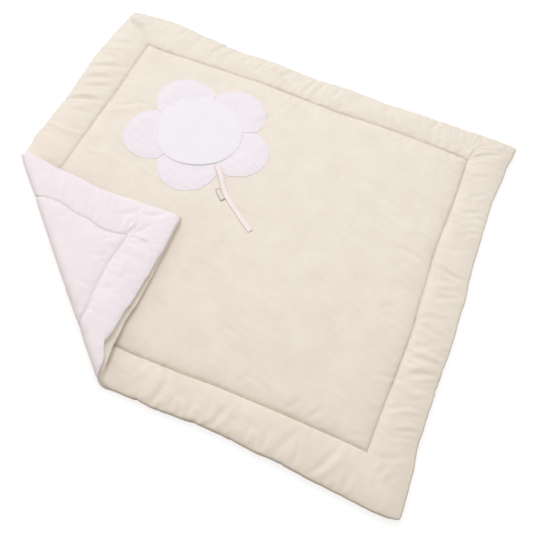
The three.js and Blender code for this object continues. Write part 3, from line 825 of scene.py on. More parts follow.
def around(grid):
    """The four sides of a grid of numbers, counter-clockwise from its first corner."""
    near = list(grid[:, 0])
    right_side = list(grid[-1, :])
    far = list(grid[::-1, -1])
    left = list(grid[0, ::-1])
    return [near, right_side, far, left]


def band(outer, inner):
    """Triangles between two rows that run the same way, the outer one on the right."""
    faces = []
    i = 0
    j = 0
    while i < len(outer) - 1 or j < len(inner) - 1:
        next_outer = (i + 1) / (len(outer) - 1)
        next_inner = (j + 1) / (len(inner) - 1)
        if j == len(inner) - 1 or (i < len(outer) - 1 and next_outer <= next_inner):
            faces.append((outer[i], outer[i + 1], inner[j]))
            i += 1
        else:
            faces.append((outer[i], inner[j + 1], inner[j]))
            j += 1
    return faces


def turned(faces):
    return [tuple(reversed(face)) for face in faces]


def new_piece(name, points_mm, faces, cut_mm=None, edge=None):
    """A mesh object at the origin, in metres, shaded smooth, with its place on the cut kept.

    Where edge is given, it says for each point how much painted shade darkens it along the piece's edge.
    """
    mesh = bpy.data.meshes.new(name)
    mesh.from_pydata((np.asarray(points_mm) * MM).tolist(), [], faces)
    mesh.polygons.foreach_set("use_smooth", [True] * len(mesh.polygons))
    flat = np.asarray(points_mm if cut_mm is None else cut_mm, float) * MM
    cut = mesh.attributes.new("cut", "FLOAT_VECTOR", "POINT")
    cut.data.foreach_set("vector", flat.astype(np.float32).ravel())
    if edge is not None:
        shares = mesh.attributes.new("edge", "FLOAT", "POINT")
        shares.data.foreach_set("value", np.asarray(edge, np.float32))
    mesh.update()
    piece = bpy.data.objects.new(name, mesh)
    bpy.context.collection.objects.link(piece)
    return piece


def closed_panel(name, height, moved, is_face):
    shape = net_x.shape
    join = JOIN_LEVEL + (JOIN_GAP / 2 if is_face else -JOIN_GAP / 2)
    layer = "face" if is_face else "back"
    outer_x = net_x + moved[..., 0]
    outer_y = net_y + moved[..., 1]
    outer = placed(outer_x, outer_y, height + moved[..., 2], layer).reshape(-1, 3)
    numbers = np.arange(outer.shape[0]).reshape(shape)
    rim = around(numbers)
    loop = [i for side in rim for i in side[:-1]]

    flat_x = net_x.ravel()
    flat_y = net_y.ravel()
    lip_x = flat_x[loop] * (1 - 2 * LIP_IN / WIDTH)
    lip_y = flat_y[loop] * (1 - 2 * LIP_IN / DEPTH)
    lip = placed(lip_x, lip_y, np.full(len(loop), join), "seam")

    rows = [*range(INNER_FROM, shape[0] - INNER_FROM - 1, INNER_STEP), shape[0] - 1 - INNER_FROM]
    columns = [*range(INNER_FROM, shape[1] - INNER_FROM - 1, INNER_STEP), shape[1] - 1 - INNER_FROM]
    inner_x = net_x[np.ix_(rows, columns)]
    inner_y = net_y[np.ix_(rows, columns)]
    inner = placed(inner_x, inner_y, np.full(inner_x.shape, join), "seam").reshape(-1, 3)

    first_lip = len(outer)
    first_inner = first_lip + len(lip)
    inner_numbers = np.arange(inner_x.size).reshape(inner_x.shape) + first_inner
    faces = quads(numbers)
    for k, a in enumerate(loop):
        after = (k + 1) % len(loop)
        faces.append((a, first_lip + k, first_lip + after, loop[after]))
    under = quads(inner_numbers)
    start = 0
    for fine, coarse in zip(rim, around(inner_numbers)):
        lip_row = [first_lip + (start + k) % len(loop) for k in range(len(fine))]
        under += band(lip_row, coarse)
        start += len(fine) - 1
    faces += turned(under)
    points = np.concatenate([outer, lip, inner])
    cut = np.zeros_like(points)
    cut[:, 0] = np.concatenate([flat_x, lip_x, inner_x.ravel()])
    cut[:, 1] = np.concatenate([flat_y, lip_y, inner_y.ravel()])
    return new_piece(name, points, faces if is_face else turned(faces), cut)


# %% [markdown]
# ## The two fabrics
# The face is settled as a whole, with no extra length where the flap covers it. Of the back
# only the corner that is turned up can be seen, so only that corner is settled; the rest
# lies flat on the floor.

# %% The face fabric
FACE_LIVELY = 0.5

face_across = across_fold(net_x, net_y)
face_open = 1 - np.maximum(flap_share(net_x, net_y), ease((face_across + 20) / 20))
face_start = face_height(net_x, net_y)
face_moved = settle(net_x, net_y, face_start, gather_share(net_x, net_y) * face_open)
face_moved = face_moved * (FACE_LIVELY * cluster(net_x, net_y, FACE_SEED) * face_open)[..., None]
face_net = face_start + face_moved[..., 2]
face_cloth = closed_panel("face_cloth", face_start, face_moved, True)
print("face fabric:", len(face_cloth.data.polygons), "faces")

# %% The back fabric, settled in its folded corner
BACK_LIVELY = 0.45
CORNER_SPAN_X = 470
CORNER_SPAN_Y = 440
back_start = back_height(net_x, net_y)
back_moved = np.zeros((*net_x.shape, 3))
lines_x = int(np.searchsorted(net_lines(WIDTH), CORNER_SPAN_X - WIDTH / 2))
lines_y = int(np.searchsorted(net_lines(DEPTH), CORNER_SPAN_Y - DEPTH / 2))
corner = (slice(0, lines_x), slice(0, lines_y))
corner_gather = gather_share(net_x[corner], net_y[corner])
corner_moved = settle(net_x[corner], net_y[corner], back_start[corner], corner_gather)
turned_up = ease(across_fold(net_x[corner], net_y[corner]) / fold_arc)
back_moved[corner] = corner_moved * (BACK_LIVELY * turned_up)[..., None]
back_cloth = closed_panel("back_cloth", back_start, back_moved, False)
print("back fabric:", len(back_cloth.data.polygons), "faces")

# %% [markdown]
# ## What lies on the face
# The flower, the ribbon and the tab are sewn on the finished face, so they follow its rise
# and fall. One function reads the height of the face at any point between the net's lines.

# %% Level of the face at any point of the cut
def net_place(lines, value):
    low = np.clip(np.searchsorted(lines, value, side="right") - 1, 0, len(lines) - 2)
    return low, (value - lines[low]) / (lines[low + 1] - lines[low])


def face_level(x, y):
    i, share_x = net_place(net_lines(WIDTH), x)
    j, share_y = net_place(net_lines(DEPTH), y)
    first = mix(face_net[i, j], face_net[i + 1, j], share_x)
    second = mix(face_net[i, j + 1], face_net[i + 1, j + 1], share_x)
    return MIDDLE_LEVEL + mix(first, second, share_y)


# %% [markdown]
# ## Petals
# Five petals of pale pink cotton are cut with round ends and stitched down along their
# edges. Each is a net between an inner arc, which the disc hides, and its own round edge.
# The edge is turned under, so it is thick and rounded, and no hand turns it quite evenly.
# The thread a few millimetres inside it draws a shallow dent, and here and there the cloth
# is gathered. The picture shows all of this softly, so the heights are small.

# %% Places and sizes of the petals: direction in degrees, middle's distance, radius
DISC_RADIUS = 95
PETAL_INNER = 70
PETALS = [(209, 96, 65.5), (133, 87, 68), (57, 93, 68), (353, 101, 65), (281, 91, 65.5)]
PETAL_WAVES = [(2.2, 1.8), (6, 1.2), (13, 0.7)]
PETAL_CLOTH = 0.9
SEAT = 0.2
EDGE_CLOTH = 0.15
EDGE_ROUND = 1.8
STITCH_IN = 4.5
STITCH_DENT = 0.28
PETAL_PUFF = 1.4
PETAL_STEPS = 110
PETAL_LINES = [*np.linspace(0, 0.9, 22), 0.92, 0.935, 0.95, 0.962, 0.974, 0.984, 0.992, 0.997, 1]


def lobe_middle(petal):
    angle = math.radians(petal[0])
    return FLOWER + petal[1] * np.array([math.cos(angle), math.sin(angle)])


def lobe_crossing(first, second):
    """Where two neighbouring lobes cross, on the side away from the flower's middle."""
    a = lobe_middle(first)
    b = lobe_middle(second)
    span = np.linalg.norm(b - a)
    to_chord = (span**2 + first[2] ** 2 - second[2] ** 2) / (2 * span)
    half = math.sqrt(first[2] ** 2 - to_chord**2)
    direction = (b - a) / span
    middle = a + direction * to_chord
    normal = np.array([-direction[1], direction[0]])
    away = 1 if (middle - FLOWER) @ normal > 0 else -1
    return middle + normal * away * half


def angle_of(vector):
    return math.atan2(vector[1], vector[0]) % (2 * math.pi)


def lobe_ends(index):
    before = PETALS[index - 1]
    after = PETALS[(index + 1) % len(PETALS)]
    return [lobe_crossing(before, PETALS[index]), lobe_crossing(PETALS[index], after)]


def lobe_radius(index, turn):
    """A petal's uneven radius in a direction from its middle, true where it meets its neighbours."""
    petal = PETALS[index]
    middle = lobe_middle(petal)
    x = middle[0] + petal[2] * np.cos(turn)
    y = middle[1] + petal[2] * np.sin(turn)
    off_ends = np.minimum.reduce([np.hypot(x - end[0], y - end[1]) for end in lobe_ends(index)])
    own_turn = (turn - math.radians(petal[0]) + math.pi) % (2 * math.pi)
    wave = 0
    for count, height in PETAL_WAVES:
        wave = wave + height * smooth_noise(own_turn * count, 0 * own_turn, 350 + index)
    return petal[2] + wave * ease(off_ends / 25)


def closed_sheet(name, x, y, under, over, edge=None):
    """A closed sheet of cloth from its plan and the heights of its two sides."""
    top = np.arange(x.size).reshape(x.shape)
    bottom = top + x.size
    faces = quads(top) + turned(quads(bottom))
    for side_top, side_bottom in zip(around(top), around(bottom)):
        for k in range(len(side_top) - 1):
            faces.append((side_top[k], side_bottom[k], side_bottom[k + 1], side_top[k + 1]))
    flat = np.stack([np.tile(x.ravel(), 2), np.tile(y.ravel(), 2)], axis=1)
    points = np.column_stack([flat, np.concatenate([over.ravel(), under.ravel()])])
    both_sides = None if edge is None else np.tile(np.broadcast_to(edge, x.shape).ravel(), 2)
    return new_piece(name, points, faces, edge=both_sides)


# %% One petal after the other
PETAL_SPLIT = 0.4


def petal_plan(index, u, v):
    middle = lobe_middle(PETALS[index])
    ends = lobe_ends(index)
    inner_from, inner_to = (angle_of(end - FLOWER) for end in ends)
    outer_from, outer_to = (angle_of(end - middle) for end in ends)
    inner_turn = (inner_from - inner_to) % (2 * math.pi)
    outer_turn = (outer_from - outer_to) % (2 * math.pi)
    inner_angle = inner_from - inner_turn * u
    outer_angle = outer_from - outer_turn * u
    towards = inner_from - inner_turn / 2
    apart = np.where(u < 0.5, -1, 1) * PETAL_SPLIT * (np.abs(u - 0.5) * 2) ** 8
    outer_radius = lobe_radius(index, outer_angle)
    inner_x = FLOWER[0] + PETAL_INNER * np.cos(inner_angle)
    inner_y = FLOWER[1] + PETAL_INNER * np.sin(inner_angle)
    x = mix(inner_x, middle[0] + outer_radius * np.cos(outer_angle), v)
    y = mix(inner_y, middle[1] + outer_radius * np.sin(outer_angle), v)
    return x - apart * math.sin(towards), y + apart * math.cos(towards)


def petal_edge(index, x, y):
    """How far points of a petal are inside its round edge."""
    middle = lobe_middle(PETALS[index])
    turn = np.arctan2(y - middle[1], x - middle[0])
    return lobe_radius(index, turn) - np.hypot(x - middle[0], y - middle[1])


def petal_relief(index, u, x, y):
    """Puff, edge dent and gathers over the petal's own thickness."""
    middle = lobe_middle(PETALS[index])
    from_edge = petal_edge(index, x, y)
    beyond = np.hypot(x - FLOWER[0], y - FLOWER[1]) - DISC_RADIUS
    puff = PETAL_PUFF * ease((beyond - 2) / 20) * ease(from_edge / 22) * np.sin(math.pi * u) ** 0.5
    dent = -STITCH_DENT * np.exp(-(((from_edge - STITCH_IN) / 1.7) ** 2)) * ease(beyond / 6)
    turn = np.arctan2(y - FLOWER[1], x - FLOWER[0])
    tight = ease(0.5 + smooth_noise(turn * 2.5, 0 * turn, 340 + index))
    gathers = 0.9 * tight * bulges(turn * 20, 0 * turn, 300 + index) * np.exp(-beyond / 12)
    gathers = gathers * ease((beyond - 1) / 5)
    own_turn = np.arctan2(y - middle[1], x - middle[0])
    edge_tight = ease(0.4 + smooth_noise(own_turn * 2, 0 * turn, 345 + index))
    edge_gathers = 0.6 * edge_tight * bulges(own_turn * 12, 0 * turn, 320 + index) * np.exp(-from_edge / 10)
    soft = 0.25 * smooth_noise(x / 18, y / 13, 330 + index) * ease(beyond / 12)
    return puff + dent + gathers + soft + edge_gathers * ease((from_edge - 1) / 5) * ease(beyond / 10)


petals = []
for index in range(len(PETALS)):
    net_u, net_v = np.meshgrid(np.linspace(0, 1, PETAL_STEPS), PETAL_LINES, indexing="ij")
    x, y = petal_plan(index, net_u, net_v)
    base = face_level(x, y) + SEAT
    rounding = np.sqrt(1 - (1 - np.clip(petal_edge(index, x, y) / EDGE_ROUND, 0, 1)) ** 2)
    relief = np.maximum(petal_relief(index, net_u, x, y), -PETAL_CLOTH * 0.6)
    over = base + EDGE_CLOTH + (PETAL_CLOTH - EDGE_CLOTH) * rounding + relief * rounding
    petals.append(closed_sheet(f"petal_cloth_{index + 1}", x, y, base, over))

# %% [markdown]
# ## The disc
# The flower's centre is an off-white disc over the petals' inner ends. It is built as rings
# round the middle, laid on whatever is under it: the face in the middle and the petals
# further out. Padding under it hides the step between the two, so it is a low dome. Its
# edge is turned under and stitched, with gathers here and there. On the side of the stem
# the edge is drawn in a little and stands up, with a fine shadow under it.

# %% Disc
DISC_CLOTH = 0.9
DISC_PUFF = 1.5
DISC_TURN_STEPS = 300
DISC_RINGS = [*np.linspace(0, 80, 24), *np.linspace(82, 90, 7), 91.2, 92.4, 93.4, 94.2, 94.7, 95]
DISC_STEPS_DOWN = 50
DISC_LIFT = 0.9
DISC_TUCK = 0.06


def disc_lift(turn):
    """Where the disc's edge stands up, as a share: on the side of the stem."""
    return np.exp(-(((turn - math.radians(293)) / 0.6) ** 2))


def disc_point(radius, turn):
    uneven = 0.008 * smooth_noise(turn * 3, 0 * turn, 401)
    uneven = uneven * ease(turn / 0.3) * ease((2 * math.pi - turn) / 0.3)
    wobble = 1 + (uneven - DISC_TUCK * disc_lift(turn)) * (radius / DISC_RADIUS) ** 2
    return FLOWER[0] + radius * wobble * np.cos(turn), FLOWER[1] + radius * wobble * np.sin(turn)


turns = np.linspace(0, 2 * math.pi, DISC_TURN_STEPS, endpoint=False)
ring, turn = np.meshgrid(DISC_RINGS[1:], turns, indexing="ij")
x, y = disc_point(ring, turn)
step_from = PETAL_INNER - 2 - DISC_STEPS_DOWN
on_petals = ease((ring - step_from) / DISC_STEPS_DOWN)
under = face_level(x, y) + SEAT + on_petals * (PETAL_CLOTH + SEAT)
edge_share = np.clip((DISC_RADIUS - ring) / EDGE_ROUND, 0, 1)
rounding = np.sqrt(1 - (1 - edge_share) ** 2)
from_edge = DISC_RADIUS - ring
tight = 0.25 + 0.75 * ease(0.5 + smooth_noise(turn * 2, 0 * turn, 412))
gathers = 0.9 * tight * bulges(turn * 22, 0 * turn, 410) * np.exp(-from_edge / 10)
gathers = gathers * ease((from_edge - 1) / 4)
seam_end = ease((2 * math.pi - turn) / 0.1) * ease(turn / 0.1)
dent = -STITCH_DENT * np.exp(-(((from_edge - STITCH_IN) / 1.8) ** 2))
puff = DISC_PUFF * np.sqrt(1 - (ring / DISC_RADIUS) ** 2)
soft = 0.3 * smooth_noise(x / 30, y / 22, 415) * ease(from_edge / 15)
under = under + DISC_LIFT * disc_lift(turn) * ease((ring - 80) / 15)
dents = np.maximum(dent + gathers * seam_end, -0.8)
over = under + EDGE_CLOTH + (DISC_CLOTH - EDGE_CLOTH + puff + soft + dents) * rounding
centre_level = float(face_level(FLOWER[0], FLOWER[1])) + SEAT

centre_top = centre_level + DISC_CLOTH + DISC_PUFF
points = [np.array([[*FLOWER, centre_top], [*FLOWER, centre_level]])]
points.append(np.column_stack([x.ravel(), y.ravel(), over.ravel()]))
points.append(np.column_stack([x.ravel(), y.ravel(), under.ravel()]))
top = np.arange(x.size).reshape(x.shape) + 2
bottom = top + x.size
faces = []
for k in range(DISC_TURN_STEPS):
    after = (k + 1) % DISC_TURN_STEPS
    faces.append((0, top[0, k], top[0, after]))
    faces.append((1, bottom[0, after], bottom[0, k]))
    for r in range(len(DISC_RINGS) - 2):
        faces.append((top[r, k], top[r + 1, k], top[r + 1, after], top[r, after]))
        faces.append((bottom[r, after], bottom[r + 1, after], bottom[r + 1, k], bottom[r, k]))
    faces.append((top[-1, k], bottom[-1, k], bottom[-1, after], top[-1, after]))
disc = new_piece("disc_cloth", np.concatenate(points), [tuple(int(i) for i in face) for face in faces])
print("disc:", len(disc.data.polygons), "faces")

# %% [markdown]
# ## The ribbon stem
# The stem is a ribbon about 12 mm wide. It comes out of the notch between two petals, turns a little, and
# runs over the face to a square cut end. Its route is a smooth curve through given points, the same as in
# the CAD model.

# %% Ribbon
STEM_WIDTH = 12
STEM_ROUTE = [(-98, 92), (-86, 79), (-70, 58), (-55, 39), (-36, 23), (-14, 7), (8, -9), (30, -24)]
STEM_STEPS = 150
STEM_CLEARS_PETALS = 36
STEM_COMES_DOWN = 12
RIBBON_CLOTH = 1.1
RIBBON_LINES = np.array([0, 0.03, 0.08, 0.15, 0.22, 0.35, 0.5, 0.65, 0.78, 0.85, 0.92, 0.97, 1])


def smooth_route(points, steps):
    """A smooth curve through the points, with even steps along it, and its directions."""
    points = np.array(points, float)
    padded_points = np.array([2 * points[0] - points[1], *points, 2 * points[-1] - points[-2]])
    fine = []
    for k in range(1, len(padded_points) - 2):
        before, start, end, after = padded_points[k - 1:k + 3]
        square = 2 * before - 5 * start + 4 * end - after
        cube = 3 * start - before - 3 * end + after
        for t in np.linspace(0, 1, 40, endpoint=False):
            fine.append(0.5 * (2 * start + (end - before) * t + square * t**2 + cube * t**3))
    fine.append(padded_points[-2])
    fine = np.array(fine)
    travelled = np.concatenate([[0], np.cumsum(np.linalg.norm(np.diff(fine, axis=0), axis=1))])
    wanted = np.linspace(0, travelled[-1], steps)
    even = np.stack([np.interp(wanted, travelled, fine[:, k]) for k in range(2)], axis=1)
    direction = np.gradient(even, axis=0)
    return even, direction / np.linalg.norm(direction, axis=1)[:, None], travelled[-1]


route, direction, stem_length = smooth_route(STEM_ROUTE, STEM_STEPS)
sideways = (RIBBON_LINES - 0.5) * STEM_WIDTH
x = route[:, :1] - direction[:, 1:] * sideways
y = route[:, 1:] + direction[:, :1] * sideways
travelled = np.linspace(0, stem_length, STEM_STEPS)[:, None]
raised = 1 - ease((travelled - STEM_CLEARS_PETALS) / STEM_COMES_DOWN)
under = face_level(x, y) + SEAT + raised * (PETAL_CLOTH + SEAT)
across = np.abs(RIBBON_LINES - 0.5) * 2
crown = 0.9 * (1 - across**2.2)
selvedge_and_edge_shade = 0.35 * np.exp(-(((across - 0.82) / 0.09) ** 2))
ripple = 0.35 * smooth_noise(travelled / 9, 0 * travelled, 501) * (1 - across)
rounding = np.sqrt(1 - np.clip((across - 0.9) / 0.1, 0, 1) ** 2)
over = under + EDGE_CLOTH + (RIBBON_CLOTH - EDGE_CLOTH + crown + selvedge_and_edge_shade + ripple) * rounding
# Both edges of the ribbon are painted darker, as painted shade along its sides.
ribbon = closed_sheet("ribbon", x, y, under, over, ease((across - 0.72) / 0.2))
print("ribbon:", round(stem_length), "mm long")

# %% [markdown]
# ## The folded tab
# Close beside the ribbon's edge lies a short woven tape, folded double. It is left plain. Its selvedges are
# a little thicker than its middle, and its selvedges and folded end are painted darker, as painted shade
# along its outline. One net covers both layers of it.

# %% Tab
TAB_LENGTH = 27
TAB_REACH = 11
TAB_THICKNESS = 1.2
TAB_CENTRE = 0.4
TAB_LOOP = 0.9

tab_u = np.linspace(-0.5, 0.5, 40)
tab_v = np.array([0, 0.03, 0.08, 0.15, 0.21, 0.28, 0.4, 0.55, 0.7, 0.85, 1])
places = np.clip(TAB_CENTRE + tab_u * TAB_LENGTH / stem_length, 0, 1) * (STEM_STEPS - 1)
steps = np.arange(STEM_STEPS)
tab_route = np.stack([np.interp(places, steps, route[:, k]) for k in range(2)], axis=1)
tab_direction = np.stack([np.interp(places, steps, direction[:, k]) for k in range(2)], axis=1)
out = STEM_WIDTH / 2 + 0.3 + TAB_REACH * (1 - tab_v)
x = tab_route[:, :1] + tab_direction[:, 1:] * out
y = tab_route[:, 1:] - tab_direction[:, :1] * out
under = face_level(x, y) + SEAT
fold_edge = np.sqrt(1 - (1 - np.clip(tab_v / 0.12, 0, 1)) ** 2)
selvedge_and_edge_shade = 0.3 * np.exp(-(((np.abs(tab_u[:, None]) - 0.46) / 0.03) ** 2))
over = under + 0.2 + (TAB_THICKNESS + TAB_LOOP * np.sin(math.pi * tab_v) + selvedge_and_edge_shade) * fold_edge
# The tape's selvedges and its folded end are painted darker: painted shade along its outline.
shaded_selvedge = ease((np.abs(tab_u[:, None]) - 0.38) / 0.05)
shaded_bend = 1 - ease((tab_v - 0.12) / 0.12)
tab = closed_sheet("tab_tape", x, y, under, over, np.maximum(shaded_selvedge, shaded_bend))

# %% [markdown]
# ## Thread
# A sewing machine leaves a row of short stitches, each a little dash of thread that dips
# into the cloth at its ends. One function lays a row of them along any line. Real stitches
# are about 3 mm long and 0.4 mm thick; these are 0.6 mm thick, so that they can be seen.

# %% Rows of stitches
STITCH_PITCH = 3.6
STITCH_LONG = 2.7
THREAD = 0.3
STITCH_RINGS = [(-0.5, 0.35, -0.45), (-0.3, 0.9, 0), (0, 1, 0.12), (0.3, 0.9, 0), (0.5, 0.35, -0.45)]
STITCH_SIDES = 6


def stitch_rows(name, lines):
    """One mesh of stitches along lines of points with their normals, in millimetres."""
    points = []
    faces = []
    for line, normals in lines:
        travelled = np.concatenate([[0], np.cumsum(np.linalg.norm(np.diff(line, axis=0), axis=1))])
        count = int(travelled[-1] / STITCH_PITCH)
        for k in range(count):
            at = (k + 0.5) * STITCH_PITCH
            spot = np.array([np.interp(at, travelled, line[:, i]) for i in range(3)])
            ahead = np.array([np.interp(at + 0.5, travelled, line[:, i]) for i in range(3)])
            normal = np.array([np.interp(at, travelled, normals[:, i]) for i in range(3)])
            along = (ahead - spot) / max(np.linalg.norm(ahead - spot), 1e-6)
            side = np.cross(normal, along)
            first = len(points)
            for share, thick, rise in STITCH_RINGS:
                middle = spot + along * share * STITCH_LONG + normal * (THREAD * 0.7 + rise)
                for s in range(STITCH_SIDES):
                    angle = 2 * math.pi * s / STITCH_SIDES
                    outward = side * math.cos(angle) + normal * math.sin(angle)
                    points.append(middle + THREAD * thick * outward)
            for r in range(len(STITCH_RINGS) - 1):
                for s in range(STITCH_SIDES):
                    a = first + r * STITCH_SIDES + s
                    b = first + r * STITCH_SIDES + (s + 1) % STITCH_SIDES
                    faces.append((a, b, b + STITCH_SIDES, a + STITCH_SIDES))
            faces.append(tuple(first + s for s in reversed(range(STITCH_SIDES))))
            last = first + (len(STITCH_RINGS) - 1) * STITCH_SIDES
            faces.append(tuple(last + s for s in range(STITCH_SIDES)))
    return new_piece(name, points, faces)


def channel_lines(height, layer):
    """The channel as four lines of points on one fabric, with the normals to stitch on."""
    lines = []
    corner_x = WIDTH / 2 - BORDER
    corner_y = DEPTH / 2 - BORDER
    corners = [(-corner_x, -corner_y), (corner_x, -corner_y), (corner_x, corner_y), (-corner_x, corner_y)]
    for k in range(4):
        (x0, y0), (x1, y1) = corners[k], corners[(k + 1) % 4]
        share = np.linspace(0, 1, 240)
        x = mix(x0, x1, share)
        y = mix(y0, y1, share)
        line = placed(x, y, np.full(len(x), height), layer)
        lifted = placed(x, y, np.full(len(x), height + 0.5), layer)
        normals = (lifted - line) * (2 if layer == "face" else -2)
        lines.append((line, normals))
    return lines


def level_line(x, y, z):
    """A line for stitch_rows on cloth that lies level, so that every normal points up."""
    return np.column_stack([x, y, z]), np.tile([0.0, 0.0, 1.0], (len(x), 1))


face_thread = stitch_rows("face_thread", channel_lines(CHANNEL_FACE - GROOVE_FACE, "face"))
back_thread = stitch_rows("back_thread", channel_lines(CHANNEL_BACK + GROOVE_BACK, "back"))

petal_rows = []
for index, petal in enumerate(PETALS):
    middle = lobe_middle(petal)
    outer_from, outer_to = (angle_of(end - middle) for end in lobe_ends(index))
    outer_turn = (outer_from - outer_to) % (2 * math.pi)
    turn = np.linspace(outer_from - 0.12, outer_from - outer_turn + 0.12, 160)
    x = middle[0] + (lobe_radius(index, turn) - STITCH_IN) * np.cos(turn)
    y = middle[1] + (lobe_radius(index, turn) - STITCH_IN) * np.sin(turn)
    petal_rows.append(level_line(x, y, face_level(x, y) + SEAT + PETAL_CLOTH - STITCH_DENT - 0.2))
petal_thread = stitch_rows("petal_thread", petal_rows)

turn = np.linspace(0.02, 2 * math.pi - 0.02, 200)
stitched = DISC_RADIUS - STITCH_IN
x, y = disc_point(stitched, turn)
puff_there = DISC_PUFF * math.sqrt(1 - (stitched / DISC_RADIUS) ** 2)
lift_there = DISC_LIFT * disc_lift(turn) * ease((stitched - 80) / 15)
disc_level = face_level(x, y) + 2 * SEAT + PETAL_CLOTH + DISC_CLOTH
disc_top = disc_level + puff_there + lift_there - STITCH_DENT - 0.2
disc_thread = stitch_rows("disc_thread", [level_line(x, y, disc_top)])
print("stitches:", len(face_thread.data.polygons) // 26, "on the face's channel")

# %% [markdown]
# ## Materials
# Every material of the mat is cotton or polyester, so all are dielectrics with an IOR near
# 1.5, rough, and with a soft sheen from the fibre ends. What sets them apart is colour and
# the scale of their weave. Colours are written as the hex values that a picture editor
# shows, and one function turns them linear for the shader.

# %% Colour and node helpers
def linear(hex_colour):
    channels = [int(hex_colour[i:i + 2], 16) / 255 for i in (1, 3, 5)]
    return [c / 12.92 if c <= 0.04045 else ((c + 0.055) / 1.055) ** 2.4 for c in channels] + [1]


def add_node(tree, kind, values=None, links=None, **settings):
    """Adds a node, sets its properties and sockets, and links other nodes' outputs into it."""
    node = tree.nodes.new(kind)
    for name, value in settings.items():
        setattr(node, name, value)
    for name, value in (values or {}).items():
        node.inputs[name].default_value = value
    for name, source in (links or {}).items():
        tree.links.new(source, node.inputs[name])
    return node


# %% [markdown]
# A woven cotton shows two things at arm's length: threads of uneven thickness, called slubs,
# which run both ways, and a faint cloudiness from dyeing and brushing. Two noises stretched
# along the two thread directions give the first, and a broad noise gives the second. Real
# threads are about 0.4 mm apart, which is too fine for a picture of the whole mat, so the
# slubs are drawn about 1.5 mm wide.

# %% Woven cotton
COTTON_IOR = 1.53
CLOUD_MM = 55
WEAVE_RELIEF = 0.25


def woven_cotton(name, light_hex, dark_hex, shaded_edge_hex=None, roughness=0.88, slub_mm=1.5):
    """A woven finish; where an edge colour is given, it darkens the piece along its edges as painted shade.
    """
    material = bpy.data.materials.new(name)
    material.use_nodes = True
    tree = material.node_tree
    tree.nodes.clear()
    cut = add_node(tree, "ShaderNodeAttribute", attribute_name="cut")
    per_metre = 1 / (slub_mm * MM)
    slubs = []
    for stretch in ((0.12, 1, 1), (1, 0.12, 1)):
        scaled = add_node(tree, "ShaderNodeVectorMath", {1: [per_metre * s for s in stretch]},
                          {0: cut.outputs["Vector"]}, operation="MULTIPLY")
        slubs.append(add_node(tree, "ShaderNodeTexNoise", {"Scale": 1, "Detail": 2, "Roughness": 0.6},
                              {"Vector": scaled.outputs[0]}))
    weave = add_node(tree, "ShaderNodeMath", {},
                     {0: slubs[0].outputs[0], 1: slubs[1].outputs[0]}, operation="ADD")
    cloud = add_node(tree, "ShaderNodeTexNoise",
                     {"Scale": 1 / (CLOUD_MM * MM), "Detail": 4, "Roughness": 0.6},
                     {"Vector": cut.outputs["Vector"]})
    tone = add_node(tree, "ShaderNodeMath", {1: 0.35},
                    {0: weave.outputs[0], 2: cloud.outputs[0]}, operation="MULTIPLY_ADD")
    spread = add_node(tree, "ShaderNodeMapRange", {"From Min": 0.55, "From Max": 1.15},
                      {"Value": tone.outputs[0]})
    colour = add_node(tree, "ShaderNodeMix", {6: linear(dark_hex), 7: linear(light_hex)},
                      {0: spread.outputs[0]}, data_type="RGBA")
    # Where an edge colour is given, it is painted shade, mixed in along the piece's edges by the edge
    # attribute.
    if shaded_edge_hex:
        selvedge_and_edge_shade = add_node(tree, "ShaderNodeAttribute", attribute_name="edge")
        colour = add_node(tree, "ShaderNodeMix", {7: linear(shaded_edge_hex)},
                          {0: selvedge_and_edge_shade.outputs["Fac"], 6: colour.outputs[2]}, data_type="RGBA")
    bump = add_node(tree, "ShaderNodeBump", {"Strength": WEAVE_RELIEF, "Distance": 0.4 * MM},
                    {"Height": weave.outputs[0]})
    shader = add_node(
        tree, "ShaderNodeBsdfPrincipled",
        {"Roughness": roughness, "IOR": COTTON_IOR, "Sheen Weight": 0.15, "Sheen Roughness": 0.5,
         "Specular IOR Level": 0.25},
        {"Base Color": colour.outputs[2], "Normal": bump.outputs[0]},
    )
    add_node(tree, "ShaderNodeOutputMaterial", links={"Surface": shader.outputs[0]})
    return material


beige_cotton = woven_cotton("brushed cotton, beige", "#F0E7DC", "#E7DDD0")
pink_cotton = woven_cotton("brushed cotton, pale pink", "#F4ECF1", "#EFE5EB")
petal_cotton = woven_cotton("cotton poplin, petal pink", "#F0E9EF", "#ECE5EB", slub_mm=1.2)
white_cotton = woven_cotton("cotton poplin, off-white", "#F0EDF2", "#ECE9EE", slub_mm=1.2)
# The ribbon's and the tape's third colour is painted shade along their edges.
pink_ribbon = woven_cotton("woven ribbon, rose", "#F6ECEA", "#F1E5E2", "#DFCDC6",
                           roughness=0.6, slub_mm=0.9)
plain_tape = woven_cotton("woven tape, natural", "#EDE5DC", "#E4DBD0", "#C6BCB0", roughness=0.8, slub_mm=1)
# The channel's two threads are darker than the cloth, partly their own colour and partly painted shade of
# the seam's groove.
seam_shaded_beige_thread = woven_cotton("polyester thread, beige, darkened with painted seam shade", "#CDBFAD", "#C2B29D", roughness=0.6, slub_mm=0.8)
seam_shaded_mauve_thread = woven_cotton("polyester thread, mauve, darkened with painted seam shade", "#D8BFCE", "#CDB1C2", roughness=0.6, slub_mm=0.8)
fine_thread = woven_cotton("polyester thread, pale pink", "#EDE3EB", "#E8DDE6", roughness=0.6, slub_mm=0.8)

